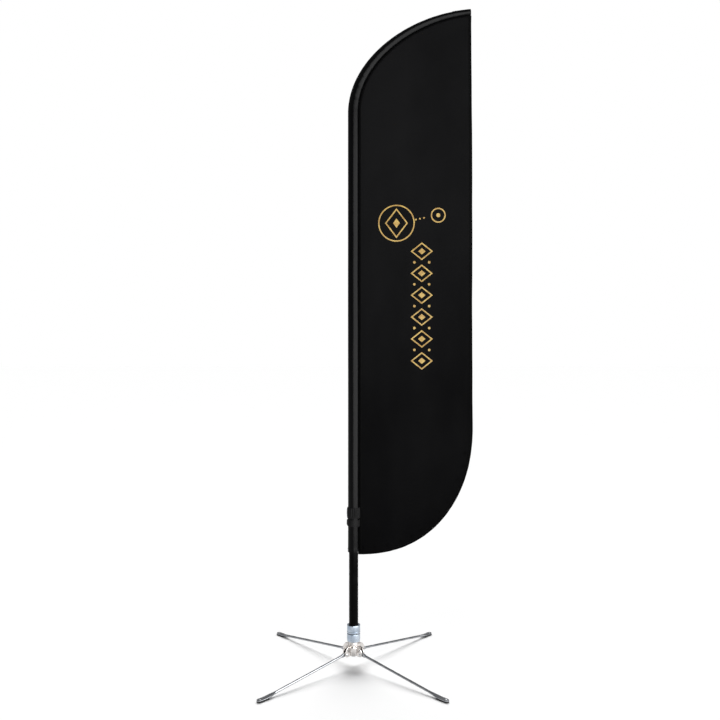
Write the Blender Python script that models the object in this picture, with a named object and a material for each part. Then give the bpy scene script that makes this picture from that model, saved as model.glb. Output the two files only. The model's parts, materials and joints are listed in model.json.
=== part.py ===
"""A feather flag on a three-piece pole, which turns on ball bearings in a folding cross base.

Everything is in metres with +Z up. The floor is at Z = 0, the flag stands in the XZ plane and hangs towards +X,
and the origin is on the floor under the middle of the whole object. The pole's axis is the empty pole_axis.
"""

import math

import bmesh
import bpy
import numpy as np
from mathutils import Matrix, Vector

# -------------------------------- fits
GAP = 0.0003  # between pieces that touch
POLE_PLAY = 0.0005  # the pole's radial play in its socket

# -------------------------------- flag and pole, measured from the pole's axis
TIP_HEIGHT = 2.283  # the pole sleeve's end, on its centre line
TIP_REACH = 0.410  # the same point, out from the pole's axis
TIP_SLOPE = math.radians(5.1)  # the sleeve still climbs a little where it ends
BEND_HEIGHT = 0.350  # how far below the tip the pole starts to bend
BEND_PULL = 0.172  # how firmly the curve leaves upright, as a Bezier handle
TIP_PULL = 0.218  # how firmly it arrives at the tip, as a Bezier handle

FLAG_TOP_WIDTH = 0.4125
FLAG_WIDTH = 0.4175
FLAG_BOTTOM = 0.386
CORNER_HEIGHT = 0.452  # the rounded lower corner, an oval arc
CORNER_START = 0.030  # where the arc meets the flat bottom edge
CORNER_FULLNESS = 2.15  # 2 is a plain ellipse, and more is squarer
CLOTH_THICK = 0.0016
HEM_WIDTH = 0.010
HEM_THICK = 0.0026

SLEEVE_SLACK = 0.0008  # between the sleeve and the lower pole's ferrule
SLEEVE_TIP_RADIUS = 0.0100
SLEEVE_WALL = 0.0015
SLEEVE_BOTTOM = 0.3955
POCKET_LENGTH = 0.060
POCKET_END = 0.0015

CUFF_BOTTOM = 0.513
CUFF_HEIGHT = 0.038
STRAP_BOTTOM = 0.486
STRAP_HEIGHT = 0.023
BAND_THICK = 0.0020
TAB_HEIGHT = 0.017
TAB_THICK = 0.0016
TAB_ANGLES = (math.radians(150), math.radians(232))

LOWER_RADIUS = 0.0160
TUBE_WALL = 0.0020
LOWER_TOP = 0.860
MIDDLE_TOP = 1.600
JOINT_OVERLAP = 0.100  # how deep each upper section sits in the one below
FERRULE_HEIGHT = 0.030
FERRULE_WALL = 0.0014
FERRULE_LIP = 0.003
TIP_END_RADIUS = 0.0045
CAP_LENGTH = 0.026
CAP_END_WALL = 0.0016
CAP_PLAY = 0.0005  # between the cap and the tip pocket round it

# -------------------------------- turning socket and bearings
SOCKET_RADIUS = 0.0230
SOCKET_HEIGHT = 0.0280
SOCKET_FLOOR = 0.0040
SPIGOT_RADIUS = 0.0100
SPIGOT_HEIGHT = 0.175  # above the socket's floor
BUSH_LENGTH = 0.050
SHAFT_RADIUS = 0.0050
SHOULDER_RADIUS = 0.0070
SEAL_HEIGHT = 0.0016
SEAL_RADIUS = 0.0222
SEAL_INNER_RADIUS = 0.0150
HOUSING_HEIGHT = 0.0265
BEARING_OUTER = 0.0130
BEARING_HEIGHT = 0.0080
RACE_THICK = 0.0020
BEARING_SPACER = 0.0036
BALLS = 8
CAGE_WIDTH = 0.0014
CIRCLIP_THICK = 0.0016
CIRCLIP_WIDTH = 0.0025
REGISTER_HEIGHT = 0.0034  # the neck's spigot under the lower bearing
NECK_RADIUS = 0.0170
NECK_HEIGHT = 0.0177
NUT_RADIUS = 0.0098
NUT_HEIGHT = 0.0050
WASHER_RADIUS = 0.0085
WASHER_THICK = 0.0014
NUT_ROOM = 0.0010  # around the nut, in the neck

# -------------------------------- hub and legs
HUB_RADIUS = 0.0225
HUB_DROP = 0.0090  # the hub's underside, below the hinges
HUB_RISE = 0.0200  # the hub's top, above the hinges
BOLT_RADIUS = 0.0050
BOLT_HEAD_RADIUS = 0.0098
BOLT_HEAD_HEIGHT = 0.0060
BOLT_DEPTH = 0.0070  # into the neck
HINGE_RADIUS = 0.0380
HINGE_HEIGHT = 0.0460
PIN_RADIUS = 0.0030
PIN_HEAD_RADIUS = 0.0046
PIN_HEAD_THICK = 0.0016
EAR_THICK = 0.0040
EAR_REACH = 0.0460
EAR_RISE = 0.0250  # above the hinges
TONGUE_THICK = 0.0060
TONGUE_HEIGHT = 0.0120
TONGUE_BACK = 0.0120  # past the pin, where the tongue rests on the stop
TONGUE_LENGTH = 0.0200
BAR_CLEARANCE = 0.0025  # the round bar starts this far outside the ears
STOP_REACH = 0.0310
LEG_REACH = 0.421
LEG_RADIUS = 0.0040
FOOT_LENGTH = 0.042
FOOT_WIDTH = 0.018
FOOT_THICK = 0.0040
PAD_THICK = 0.0030
PAD_MARGIN = 0.0010
RIVET_RADIUS = 0.0020
RIVET_HEAD_RADIUS = 0.0042
RIVET_HEAD_HEIGHT = 0.0014
RIVET_INSET = 0.0100  # from the foot's end

LEGS = {"front_left": -135, "front_right": -45, "back_right": 45, "back_left": 135}

ROUND = 28  # sides of a turned piece
SMALL_ROUND = 16
PATH_STEPS = 24  # stations along the bend

# -------------------------------- worked out from the sizes
HUB_BOTTOM = HINGE_HEIGHT - HUB_DROP
HUB_TOP = HINGE_HEIGHT + HUB_RISE
EAR_TOP = HINGE_HEIGHT + EAR_RISE
HOUSING_BOTTOM = HUB_TOP + NECK_HEIGHT + 2 * GAP
HOUSING_TOP = HOUSING_BOTTOM + HOUSING_HEIGHT
SOCKET_BOTTOM = HOUSING_TOP + SEAL_HEIGHT + 2 * GAP
SOCKET_TOP = SOCKET_BOTTOM + SOCKET_HEIGHT
SLEEVE_RADIUS = LOWER_RADIUS + GAP + FERRULE_WALL + SLEEVE_SLACK + SLEEVE_WALL
TIP_END_BACK = POCKET_END + CAP_END_WALL + 2 * GAP
BEND_START = TIP_HEIGHT - BEND_HEIGHT
LOWER_BORE = LOWER_RADIUS - TUBE_WALL
MIDDLE_RADIUS = LOWER_BORE - GAP
MIDDLE_BORE = MIDDLE_RADIUS - TUBE_WALL
TIP_RADIUS = MIDDLE_BORE - GAP
LOWER_BOTTOM = SOCKET_BOTTOM + SOCKET_FLOOR + GAP
MIDDLE_BOTTOM = LOWER_TOP - JOINT_OVERLAP
TIP_BOTTOM = MIDDLE_TOP - JOINT_OVERLAP
BALL_RADIUS = (BEARING_OUTER - 2 * RACE_THICK - SHAFT_RADIUS - GAP) / 2 - GAP
PITCH_RADIUS = (BEARING_OUTER + SHAFT_RADIUS + GAP) / 2
LOWER_BEARING = HOUSING_BOTTOM + REGISTER_HEIGHT + GAP
UPPER_BEARING = LOWER_BEARING + BEARING_HEIGHT + BEARING_SPACER + 2 * GAP
CIRCLIP_BOTTOM = UPPER_BEARING + BEARING_HEIGHT + GAP
PAD_WIDTH = FOOT_WIDTH + 2 * PAD_MARGIN
BASE_HALF = (LEG_REACH - PAD_WIDTH / 2) * math.cos(math.radians(45)) + PAD_WIDTH / 2
POLE_X = (BASE_HALF - FLAG_WIDTH) / 2  # puts the origin under the middle of the whole object
FOOT_BOTTOM = PAD_THICK + GAP


# -------------------------------- meshes
def mesh_of(bm):
    """A mesh of the bmesh, with its doubles merged and its faces pointing out."""
    bmesh.ops.remove_doubles(bm, verts=bm.verts, dist=1e-6)
    bmesh.ops.recalc_face_normals(bm, faces=bm.faces)
    mesh = bpy.data.meshes.new("shape")
    bm.to_mesh(mesh)
    bm.free()
    return mesh


def turned(profile, segments=ROUND):
    """A solid of revolution about Z. The profile's (radius, height) points run round its section."""
    bm = bmesh.new()
    points = [bm.verts.new((radius, 0, height)) for radius, height in profile]
    for start, end in zip(points, points[1:] + points[:1]):
        if start.co.x > 0 or end.co.x > 0:
            bm.edges.new((start, end))
    bmesh.ops.spin(
        bm,
        geom=bm.verts[:] + bm.edges[:],
        cent=(0, 0, 0),
        axis=(0, 0, 1),
        angle=math.tau,
        steps=segments,
        use_merge=True,
    )
    return mesh_of(bm)


def ring(inner, outer, low, high, segments=ROUND):
    return turned([(inner, low), (outer, low), (outer, high), (inner, high)], segments)


def cylinder(radius, low, high, segments=ROUND):
    return turned([(0, low), (radius, low), (radius, high), (0, high)], segments)


def plate(outline, low, high):
    """The outline, (x, y) points, raised from one height to another."""
    bm = bmesh.new()
    face = bm.faces.new([bm.verts.new((x, y, low)) for x, y in outline])
    raised = bmesh.ops.extrude_face_region(bm, geom=[face])["geom"]
    lifted = [item for item in raised if isinstance(item, bmesh.types.BMVert)]
    bmesh.ops.translate(bm, verts=lifted, vec=(0, 0, high - low))
    return mesh_of(bm)


def upright(outline, middle, thick):
    """The outline, (x, z) points, as a sheet that stands in the XZ plane with its middle at this Y."""
    mesh = plate(outline, -thick / 2, thick / 2)
    mesh.transform(Matrix.Translation((0, middle, 0)) @ Matrix.Rotation(math.pi / 2, 4, "X"))
    return mesh


def polygon(radius, corners, turn=0.0):
    steps = np.arange(corners) * math.tau / corners + turn
    return list(zip(radius * np.cos(steps), radius * np.sin(steps)))


def rod(start, end, radius, segments=16):
    """A round bar from one point to another."""
    along = Vector(end) - Vector(start)
    mesh = cylinder(radius, 0, along.length, segments)
    mesh.transform(Matrix.Translation(start) @ along.to_track_quat("Z", "X").to_matrix().to_4x4())
    return mesh


def loft(rings, capped):
    """A skin over rings of points, closed by its two end rings or, when not capped, run back to its start."""
    bm = bmesh.new()
    loops = [[bm.verts.new(point) for point in ring_points] for ring_points in rings]
    pairs = list(zip(loops, loops[1:])) if capped else list(zip(loops, loops[1:] + loops[:1]))
    for one, two in pairs:
        for i in range(len(one)):
            j = (i + 1) % len(one)
            bm.faces.new((one[i], one[j], two[j], two[i]))
    if capped:
        bm.faces.new(loops[0])
        bm.faces.new(loops[-1])
    return mesh_of(bm)


def combine(base, add=(), cut=()):
    """One mesh: the base joined with each mesh of add, then cut by each mesh of cut."""
    holder = bpy.data.objects.new("holder", base)
    tools = []
    bpy.context.scene.collection.objects.link(holder)
    for operation, meshes in (("UNION", add), ("DIFFERENCE", cut)):
        for mesh in meshes:
            tool = bpy.data.objects.new("tool", mesh)
            bpy.context.scene.collection.objects.link(tool)
            modifier = holder.modifiers.new(operation, "BOOLEAN")
            modifier.operation = operation
            modifier.solver = "EXACT"
            modifier.object = tool
            tools.append(tool)
    bpy.context.view_layer.update()
    evaluated = holder.evaluated_get(bpy.context.evaluated_depsgraph_get())
    result = bpy.data.meshes.new_from_object(evaluated)
    for item in [holder, *tools]:
        bpy.data.objects.remove(item, do_unlink=True)
    return result


# -------------------------------- materials and objects
def material(name, colour, roughness, metallic):
    made = bpy.data.materials.new(name)
    made.use_nodes = True
    shader = made.node_tree.nodes["Principled BSDF"]
    shader.inputs["Base Color"].default_value = (*colour, 1)
    shader.inputs["Roughness"].default_value = roughness
    shader.inputs["Metallic"].default_value = metallic
    return made


def piece(name, mesh, finish, parent, location=(0, 0, 0)):
    """Puts a mesh into the scene as one sub-part."""
    mesh = mesh.copy() if mesh.users else mesh
    mesh.name = name
    mesh.materials.clear()
    mesh.materials.append(finish)
    mesh.shade_smooth()
    mesh.set_sharp_from_angle(angle=math.radians(35))
    made = bpy.data.objects.new(name, mesh)
    bpy.context.scene.collection.objects.link(made)
    made.parent = parent
    made.location = location
    return made


def empty(name, parent=None, location=(0, 0, 0), turn=0.0):
    made = bpy.data.objects.new(name, None)
    made.empty_display_size = 0.02
    bpy.context.scene.collection.objects.link(made)
    made.parent = parent
    made.location = location
    made.rotation_euler.z = turn
    return made


# -------------------------------- the bent pole's centre line
def bend(steps=PATH_STEPS):
    """Points and directions (x, z) along the bend: a cubic Bezier from upright to the tip's slope."""
    along = np.linspace(0, 1, steps)[:, None]
    start = np.array([0, BEND_START])
    end = np.array([TIP_REACH, TIP_HEIGHT])
    leave = start + [0, BEND_PULL]
    arrive = end - TIP_PULL * np.array([math.cos(TIP_SLOPE), math.sin(TIP_SLOPE)])
    back = 1 - along
    points = back**3 * start + 3 * back**2 * along * leave + 3 * back * along**2 * arrive + along**3 * end
    heading = back**2 * (leave - start) + 2 * back * along * (arrive - leave) + along**2 * (end - arrive)
    return points, heading / np.linalg.norm(heading, axis=1)[:, None]


def lengths(points):
    return np.concatenate([[0], np.cumsum(np.linalg.norm(np.diff(points, axis=0), axis=1))])


def part_of_bend(first, last, steps=PATH_STEPS):
    """The bend between two distances along it, evenly stepped, with the share of its length at each point."""
    points, heading = bend(400)
    run = lengths(points)
    wanted = np.linspace(first, run[-1] if last is None else last, steps)
    place = np.stack([np.interp(wanted, run, points[:, i]) for i in (0, 1)], axis=1)
    facing = np.stack([np.interp(wanted, run, heading[:, i]) for i in (0, 1)], axis=1)
    return place, facing / np.linalg.norm(facing, axis=1)[:, None], wanted / run[-1]


BEND_LENGTH = lengths(bend(400)[0])[-1]


def sleeve_radius(share):
    return SLEEVE_RADIUS + (SLEEVE_TIP_RADIUS - SLEEVE_RADIUS) * share


def tube_rings(points, heading, radius, segments=20):
    """Circles of points square to a path in the XZ plane."""
    turn = np.arange(segments) * math.tau / segments
    side = np.stack([-heading[:, 1], heading[:, 0]], axis=1)
    rings = np.zeros((len(points), segments, 3))
    reach = np.broadcast_to(radius, len(points))[:, None]
    rings[:, :, 0] = points[:, None, 0] + reach * np.cos(turn) * side[:, None, 0]
    rings[:, :, 2] = points[:, None, 1] + reach * np.cos(turn) * side[:, None, 1]
    rings[:, :, 1] = reach * np.sin(turn)
    return list(rings)


# -------------------------------- the edges of the cloth
def seam_side():
    """The sleeve's side that faces the flag, as (x, z) points from the bend's start to its end, with the gap."""
    points, heading, share = part_of_bend(0, None)
    away = sleeve_radius(share)[:, None] + GAP
    return points + away * np.stack([heading[:, 1], -heading[:, 0]], axis=1)


def free_edge(corner_steps=26):
    """The flag's free edge as (x, z) points, from its top right corner down and round to its bottom left."""
    seam = seam_side()
    inner_top = FLAG_TOP_WIDTH - HEM_WIDTH - GAP
    top = [[FLAG_TOP_WIDTH, np.interp(inner_top, seam[:, 0], seam[:, 1])]]
    turn = np.linspace(0, math.pi / 2, corner_steps)
    power = 2 / CORNER_FULLNESS
    x = CORNER_START + (FLAG_WIDTH - CORNER_START) * np.cos(turn) ** power
    z = FLAG_BOTTOM + CORNER_HEIGHT * (1 - np.sin(turn) ** power)
    end = [[SLEEVE_RADIUS + GAP, FLAG_BOTTOM]]
    return np.concatenate([top, np.stack([x, z], axis=1), end])


def inset(points, distance):
    """The points moved to the right of their way by a distance."""
    way = np.gradient(points, axis=0)
    way /= np.linalg.norm(way, axis=1)[:, None]
    return points + distance * np.stack([way[:, 1], -way[:, 0]], axis=1)


def panel_outline():
    seam = seam_side()
    edge = inset(free_edge(), HEM_WIDTH + GAP)
    below = seam[seam[:, 0] < edge[0, 0] - GAP]
    foot = [[SLEEVE_RADIUS + GAP, edge[-1, 1]]]
    return np.concatenate([foot, below, edge[:-1]])


def hem_outline(edge):
    """A strip along the inside of an edge."""
    return np.concatenate([edge, inset(edge, HEM_WIDTH)[::-1]])


def arc_band(inner, wall, angles, low, high, steps=24):
    """A band that goes part of the way round the pole."""
    turn = np.linspace(*angles, steps)
    outer = inner + wall
    outside = np.stack([outer * np.cos(turn), outer * np.sin(turn)], axis=1)
    inside = np.stack([inner * np.cos(turn), inner * np.sin(turn)], axis=1)
    return plate(np.concatenate([outside, inside[::-1]]), low, high)


# -------------------------------- pieces of the base
def neck_mesh():
    """A collar with a threaded blind hole below, and above it room for the nut and a register for the bearing."""
    register = HOUSING_BOTTOM + REGISTER_HEIGHT
    room = NUT_RADIUS + NUT_ROOM
    web_low = HUB_TOP + GAP + BOLT_DEPTH
    web_high = LOWER_BEARING - WASHER_THICK - NUT_HEIGHT - 4 * GAP - NUT_ROOM
    body = turned(
        [
            (0, HUB_TOP + GAP),
            (NECK_RADIUS, HUB_TOP + GAP),
            (NECK_RADIUS, HOUSING_BOTTOM - GAP),
            (BEARING_OUTER, HOUSING_BOTTOM - GAP),
            (BEARING_OUTER, register),
            (room, register),
            (room, web_high),
            (0, web_high),
        ]
    )
    thread = cylinder(BOLT_RADIUS + GAP, HUB_TOP - 0.002, web_low, SMALL_ROUND)
    return combine(body, cut=[thread])


def housing_mesh():
    bore = BEARING_OUTER + GAP
    edge = 0.0012
    return turned(
        [
            (bore, HOUSING_BOTTOM),
            (SOCKET_RADIUS - edge, HOUSING_BOTTOM),
            (SOCKET_RADIUS, HOUSING_BOTTOM + edge),
            (SOCKET_RADIUS, HOUSING_TOP - edge / 2),
            (SOCKET_RADIUS - edge / 2, HOUSING_TOP),
            (bore, HOUSING_TOP),
        ]
    )


def socket_mesh():
    """The cup that the pole stands in, its spigot inside the pole, and its shaft down through the bearings."""
    floor = SOCKET_BOTTOM + SOCKET_FLOOR
    cup = LOWER_RADIUS + POLE_PLAY
    shoulder = UPPER_BEARING + BEARING_HEIGHT + GAP
    shaft_end = LOWER_BEARING - WASHER_THICK - NUT_HEIGHT - 3 * GAP
    tip = floor + SPIGOT_HEIGHT
    edge = 0.0012
    return turned(
        [
            (0, shaft_end),
            (SHAFT_RADIUS, shaft_end),
            (SHAFT_RADIUS, shoulder),
            (SHOULDER_RADIUS, shoulder),
            (SHOULDER_RADIUS, SOCKET_BOTTOM),
            (SOCKET_RADIUS - edge / 2, SOCKET_BOTTOM),
            (SOCKET_RADIUS, SOCKET_BOTTOM + edge / 2),
            (SOCKET_RADIUS, SOCKET_TOP - edge),
            (SOCKET_RADIUS - edge, SOCKET_TOP),
            (cup + edge, SOCKET_TOP),
            (cup, SOCKET_TOP - edge),
            (cup, floor),
            (SPIGOT_RADIUS, floor),
            (SPIGOT_RADIUS, tip - SPIGOT_RADIUS / 2),
            (SPIGOT_RADIUS / 2, tip),
            (0, tip),
        ]
    )


def cage_mesh():
    """The balls, held by the cage that runs through them."""
    half = CAGE_WIDTH / 2
    cage = ring(PITCH_RADIUS - half, PITCH_RADIUS + half, -half, half, SMALL_ROUND)
    balls = []
    for x, y in polygon(PITCH_RADIUS, BALLS):
        bm = bmesh.new()
        place = Matrix.Translation((x, y, 0))
        bmesh.ops.create_uvsphere(bm, u_segments=8, v_segments=5, radius=BALL_RADIUS, matrix=place)
        balls.append(mesh_of(bm))
    return combine(cage, add=balls)


def ear_outline():
    """One ear seen from the side, as (distance from the axis, height)."""
    low = HUB_BOTTOM + 0.0005
    return [
        (0.014, low),
        (EAR_REACH - 0.006, low),
        (EAR_REACH, low + 0.006),
        (EAR_REACH, EAR_TOP - 0.013),
        (EAR_REACH - 0.011, EAR_TOP),
        (0.014, EAR_TOP),
    ]


def hub_mesh():
    """A turned block with a pair of ears on each diagonal and, between each pair, the stop its leg rests on."""
    edge = 0.0015
    block = turned(
        [
            (0, HUB_BOTTOM),
            (HUB_RADIUS - edge, HUB_BOTTOM),
            (HUB_RADIUS, HUB_BOTTOM + edge),
            (HUB_RADIUS, HUB_TOP - edge),
            (HUB_RADIUS - edge, HUB_TOP),
            (0, HUB_TOP),
        ],
        32,
    )
    ear_middle = TONGUE_THICK / 2 + GAP + EAR_THICK / 2
    stop_top = HINGE_HEIGHT - TONGUE_HEIGHT / 2 - GAP
    stop_low = HUB_BOTTOM + 0.001
    added = []
    holes = []
    for degrees in LEGS.values():
        turn = Matrix.Rotation(math.radians(degrees), 4, "Z")
        for side in (-1, 1):
            ear = upright(ear_outline(), side * ear_middle, EAR_THICK)
            ear.transform(turn)
            added.append(ear)
        stop = plate(
            [
                (0.016, -ear_middle),
                (STOP_REACH, -ear_middle),
                (STOP_REACH, ear_middle),
                (0.016, ear_middle),
            ],
            stop_low,
            stop_top,
        )
        stop.transform(turn)
        added.append(stop)
        reach = ear_middle + EAR_THICK
        hole = rod((HINGE_RADIUS, -reach, HINGE_HEIGHT), (HINGE_RADIUS, reach, HINGE_HEIGHT), PIN_RADIUS + GAP)
        hole.transform(turn)
        holes.append(hole)
    neck_room = cylinder(NECK_RADIUS + GAP, HUB_TOP, EAR_TOP + 0.01)
    bolt_hole = cylinder(BOLT_RADIUS + GAP, HUB_BOTTOM - 0.01, HUB_TOP + 0.01, SMALL_ROUND)
    return combine(block, add=added, cut=[neck_room, bolt_hole, *holes])


def bolt_mesh():
    head_top = HUB_BOTTOM - GAP
    head = plate(polygon(BOLT_HEAD_RADIUS, 6), head_top - BOLT_HEAD_HEIGHT, head_top)
    shank = cylinder(BOLT_RADIUS, head_top - 0.003, HUB_TOP + BOLT_DEPTH, SMALL_ROUND)
    return combine(head, add=[shank])


def nut_mesh(bottom):
    hole = cylinder(SHAFT_RADIUS + GAP, bottom - 0.01, bottom + 0.02, SMALL_ROUND)
    return combine(plate(polygon(NUT_RADIUS, 6), bottom, bottom + NUT_HEIGHT), cut=[hole])


# -------------------------------- pieces of a leg, with +X out along it and its pin at 0
def foot_outline(width):
    """A strip from the foot's start to its round end."""
    end = LEG_REACH - HINGE_RADIUS
    turn = np.linspace(-math.pi / 2, math.pi / 2, 11)
    x = end - width / 2 + width / 2 * np.cos(turn)
    y = width / 2 * np.sin(turn)
    start = end - FOOT_LENGTH
    return [(start, -width / 2), *zip(x, y), (start, width / 2)]


def rivet_x():
    return LEG_REACH - HINGE_RADIUS - RIVET_INSET


def leg_mesh():
    """A round bar with a flat tongue at the pin and a flattened foot at the far end."""
    half = TONGUE_HEIGHT / 2
    corner = 0.004
    outline = [
        (-TONGUE_BACK, -half),
        (TONGUE_LENGTH, -half),
        (TONGUE_LENGTH, half - corner),
        (TONGUE_LENGTH - corner, half),
        (-TONGUE_BACK + corner, half),
        (-TONGUE_BACK, half - corner),
    ]
    tongue = upright(outline, 0, TONGUE_THICK)
    foot_low = FOOT_BOTTOM - HINGE_HEIGHT
    foot_start = LEG_REACH - HINGE_RADIUS - FOOT_LENGTH
    bar_start = EAR_REACH - HINGE_RADIUS + BAR_CLEARANCE
    bar = rod((bar_start, 0, 0), (foot_start + 0.008, 0, foot_low + LEG_RADIUS + GAP), LEG_RADIUS)
    foot = plate(foot_outline(FOOT_WIDTH), foot_low, foot_low + FOOT_THICK)
    pin_hole = rod((0, -0.01, 0), (0, 0.01, 0), PIN_RADIUS + GAP)
    rivet_hole = cylinder(RIVET_RADIUS + GAP, foot_low - 0.01, foot_low + 0.02, SMALL_ROUND)
    rivet_hole.transform(Matrix.Translation((rivet_x(), 0, 0)))
    return combine(bar, add=[tongue, foot], cut=[pin_hole, rivet_hole])


def pad_mesh():
    low = -HINGE_HEIGHT
    hole = cylinder(RIVET_RADIUS + GAP, low - 0.01, low + 0.02, SMALL_ROUND)
    hole.transform(Matrix.Translation((rivet_x(), 0, 0)))
    return combine(plate(foot_outline(PAD_WIDTH), low, low + PAD_THICK), cut=[hole])


def rivet_mesh():
    low = -HINGE_HEIGHT
    under_head = low + FOOT_BOTTOM + FOOT_THICK + GAP
    top = under_head + RIVET_HEAD_HEIGHT
    mesh = turned(
        [
            (0, low + 0.0006),
            (RIVET_RADIUS, low + 0.0006),
            (RIVET_RADIUS, under_head),
            (RIVET_HEAD_RADIUS, under_head),
            (RIVET_HEAD_RADIUS * 0.8, top - 0.0003),
            (RIVET_HEAD_RADIUS * 0.4, top),
            (0, top),
        ],
        SMALL_ROUND,
    )
    mesh.transform(Matrix.Translation((rivet_x(), 0, 0)))
    return mesh


def pin_mesh():
    """A pin across both ears, with a head at each end."""
    reach = TONGUE_THICK / 2 + GAP + EAR_THICK + GAP
    head = reach + PIN_HEAD_THICK
    mesh = turned(
        [
            (0, -head),
            (PIN_HEAD_RADIUS * 0.8, -head),
            (PIN_HEAD_RADIUS, -reach),
            (PIN_RADIUS, -reach),
            (PIN_RADIUS, reach),
            (PIN_HEAD_RADIUS, reach),
            (PIN_HEAD_RADIUS * 0.8, head),
            (0, head),
        ],
        SMALL_ROUND,
    )
    mesh.transform(Matrix.Rotation(math.pi / 2, 4, "X"))
    return mesh


# -------------------------------- pieces of the pole and the flag
def ferrule_mesh(outer, bore, top):
    """A collar round the top of a tube, with a lip over its rim."""
    lip_low = top + GAP
    lip_high = lip_low + FERRULE_LIP
    wall = outer + GAP
    return turned(
        [
            (wall, top - FERRULE_HEIGHT),
            (wall + FERRULE_WALL, top - FERRULE_HEIGHT),
            (wall + FERRULE_WALL, lip_high),
            (bore, lip_high),
            (bore, lip_low),
            (wall, lip_low),
        ]
    )


def tip_pole_mesh():
    """A solid bar, straight inside the middle tube and then bent, that tapers to its end."""
    points, heading, share = part_of_bend(0, BEND_LENGTH - TIP_END_BACK)
    low = np.array([[0, TIP_BOTTOM], [0, MIDDLE_TOP]])
    up = np.array([[0, 1], [0, 1]])
    path = np.concatenate([low, points])
    way = np.concatenate([up, heading])
    radius = np.concatenate([[TIP_RADIUS, TIP_RADIUS], tip_radius(share)])
    return loft(tube_rings(path, way, radius, SMALL_ROUND), True)


def tip_radius(share):
    return TIP_RADIUS + (TIP_END_RADIUS - TIP_RADIUS) * share


def cup_rings(first, last, outer, inner, end_wall, steps, segments=20):
    """Rings of a cup along the bend: down its inside wall from the closed end, then back up its outside."""
    points, heading, share = part_of_bend(first, last - end_wall, steps)
    inside = tube_rings(points, heading, inner(share), segments)
    points, heading, share = part_of_bend(first, last, steps)
    outside = tube_rings(points, heading, outer(share), segments)
    return inside[::-1] + outside


def cap_mesh():
    """A rubber cap on the pole's end, which fills the tip pocket."""
    end = BEND_LENGTH - POCKET_END - GAP

    def inner(share):
        return tip_radius(share) + GAP

    def outer(share):
        return sleeve_radius(share) - SLEEVE_WALL - CAP_PLAY

    return loft(cup_rings(end - CAP_LENGTH, end, outer, inner, CAP_END_WALL, 4, SMALL_ROUND), True)


def sleeve_mesh():
    """An open tube of cloth round the pole, from its bottom hem to the tip pocket."""
    points, heading, share = part_of_bend(0, BEND_LENGTH - POCKET_LENGTH - GAP)
    points = np.concatenate([[[0, SLEEVE_BOTTOM]], points])
    heading = np.concatenate([[[0, 1]], heading])
    outer = np.concatenate([[SLEEVE_RADIUS], sleeve_radius(share)])
    outside = tube_rings(points, heading, outer)
    inside = tube_rings(points, heading, outer - SLEEVE_WALL)
    return loft(outside + inside[::-1], False)


def pocket_mesh():
    """The sleeve's closed end, of doubled cloth, which the pole's tip pushes into."""

    def inner(share):
        return sleeve_radius(share) - SLEEVE_WALL

    rings = cup_rings(BEND_LENGTH - POCKET_LENGTH, BEND_LENGTH, sleeve_radius, inner, POCKET_END, 6)
    return loft(rings, True)


# -------------------------------- the assembly
def build_hub(axis, zinc, chrome, steel, rubber):
    piece("hub_body", hub_mesh(), chrome, axis)
    piece("centre_bolt", bolt_mesh(), steel, axis)
    piece("neck_collar", neck_mesh(), chrome, axis)
    piece("bearing_housing", housing_mesh(), zinc, axis)
    race = RACE_THICK
    inner = SHAFT_RADIUS + GAP
    cage = cage_mesh()
    for name, low in (("lower", LOWER_BEARING), ("upper", UPPER_BEARING)):
        high = low + BEARING_HEIGHT
        piece(f"{name}_bearing_outer_ring", ring(BEARING_OUTER - race, BEARING_OUTER, low, high), steel, axis)
        piece(f"{name}_bearing_inner_ring", ring(inner, inner + race, low, high), steel, axis)
        piece(f"{name}_ball_cage", cage, steel, axis, (0, 0, (low + high) / 2))
    low = LOWER_BEARING + BEARING_HEIGHT + GAP
    high = low + BEARING_SPACER
    piece("outer_bearing_spacer", ring(BEARING_OUTER - race, BEARING_OUTER, low, high), steel, axis)
    piece("inner_bearing_spacer", ring(inner, inner + race - GAP, low, high), steel, axis)
    low = CIRCLIP_BOTTOM
    circlip = ring(BEARING_OUTER - CIRCLIP_WIDTH, BEARING_OUTER, low, low + CIRCLIP_THICK)
    piece("bearing_circlip", circlip, steel, axis)
    low = HOUSING_TOP + GAP
    piece("dust_seal", ring(SEAL_INNER_RADIUS, SEAL_RADIUS, low, low + SEAL_HEIGHT), rubber, axis)
    piece("pole_socket", socket_mesh(), zinc, axis)
    low = LOWER_BEARING - GAP - WASHER_THICK
    piece("shaft_washer", ring(inner, WASHER_RADIUS, low, low + WASHER_THICK), steel, axis)
    piece("shaft_nut", nut_mesh(low - GAP - NUT_HEIGHT), steel, axis)


def build_legs(axis, chrome, steel, rubber):
    leg = leg_mesh()
    pin = pin_mesh()
    pad = pad_mesh()
    rivet = rivet_mesh()
    for side, degrees in LEGS.items():
        turn = math.radians(degrees)
        place = (HINGE_RADIUS * math.cos(turn), HINGE_RADIUS * math.sin(turn), HINGE_HEIGHT)
        hinge = empty(f"{side}_hinge", axis, place, turn)
        piece(f"{side}_leg", leg, chrome, hinge)
        piece(f"{side}_hinge_pin", pin, steel, hinge)
        piece(f"{side}_foot_pad", pad, rubber, hinge)
        piece(f"{side}_foot_rivet", rivet, steel, hinge)


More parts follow.
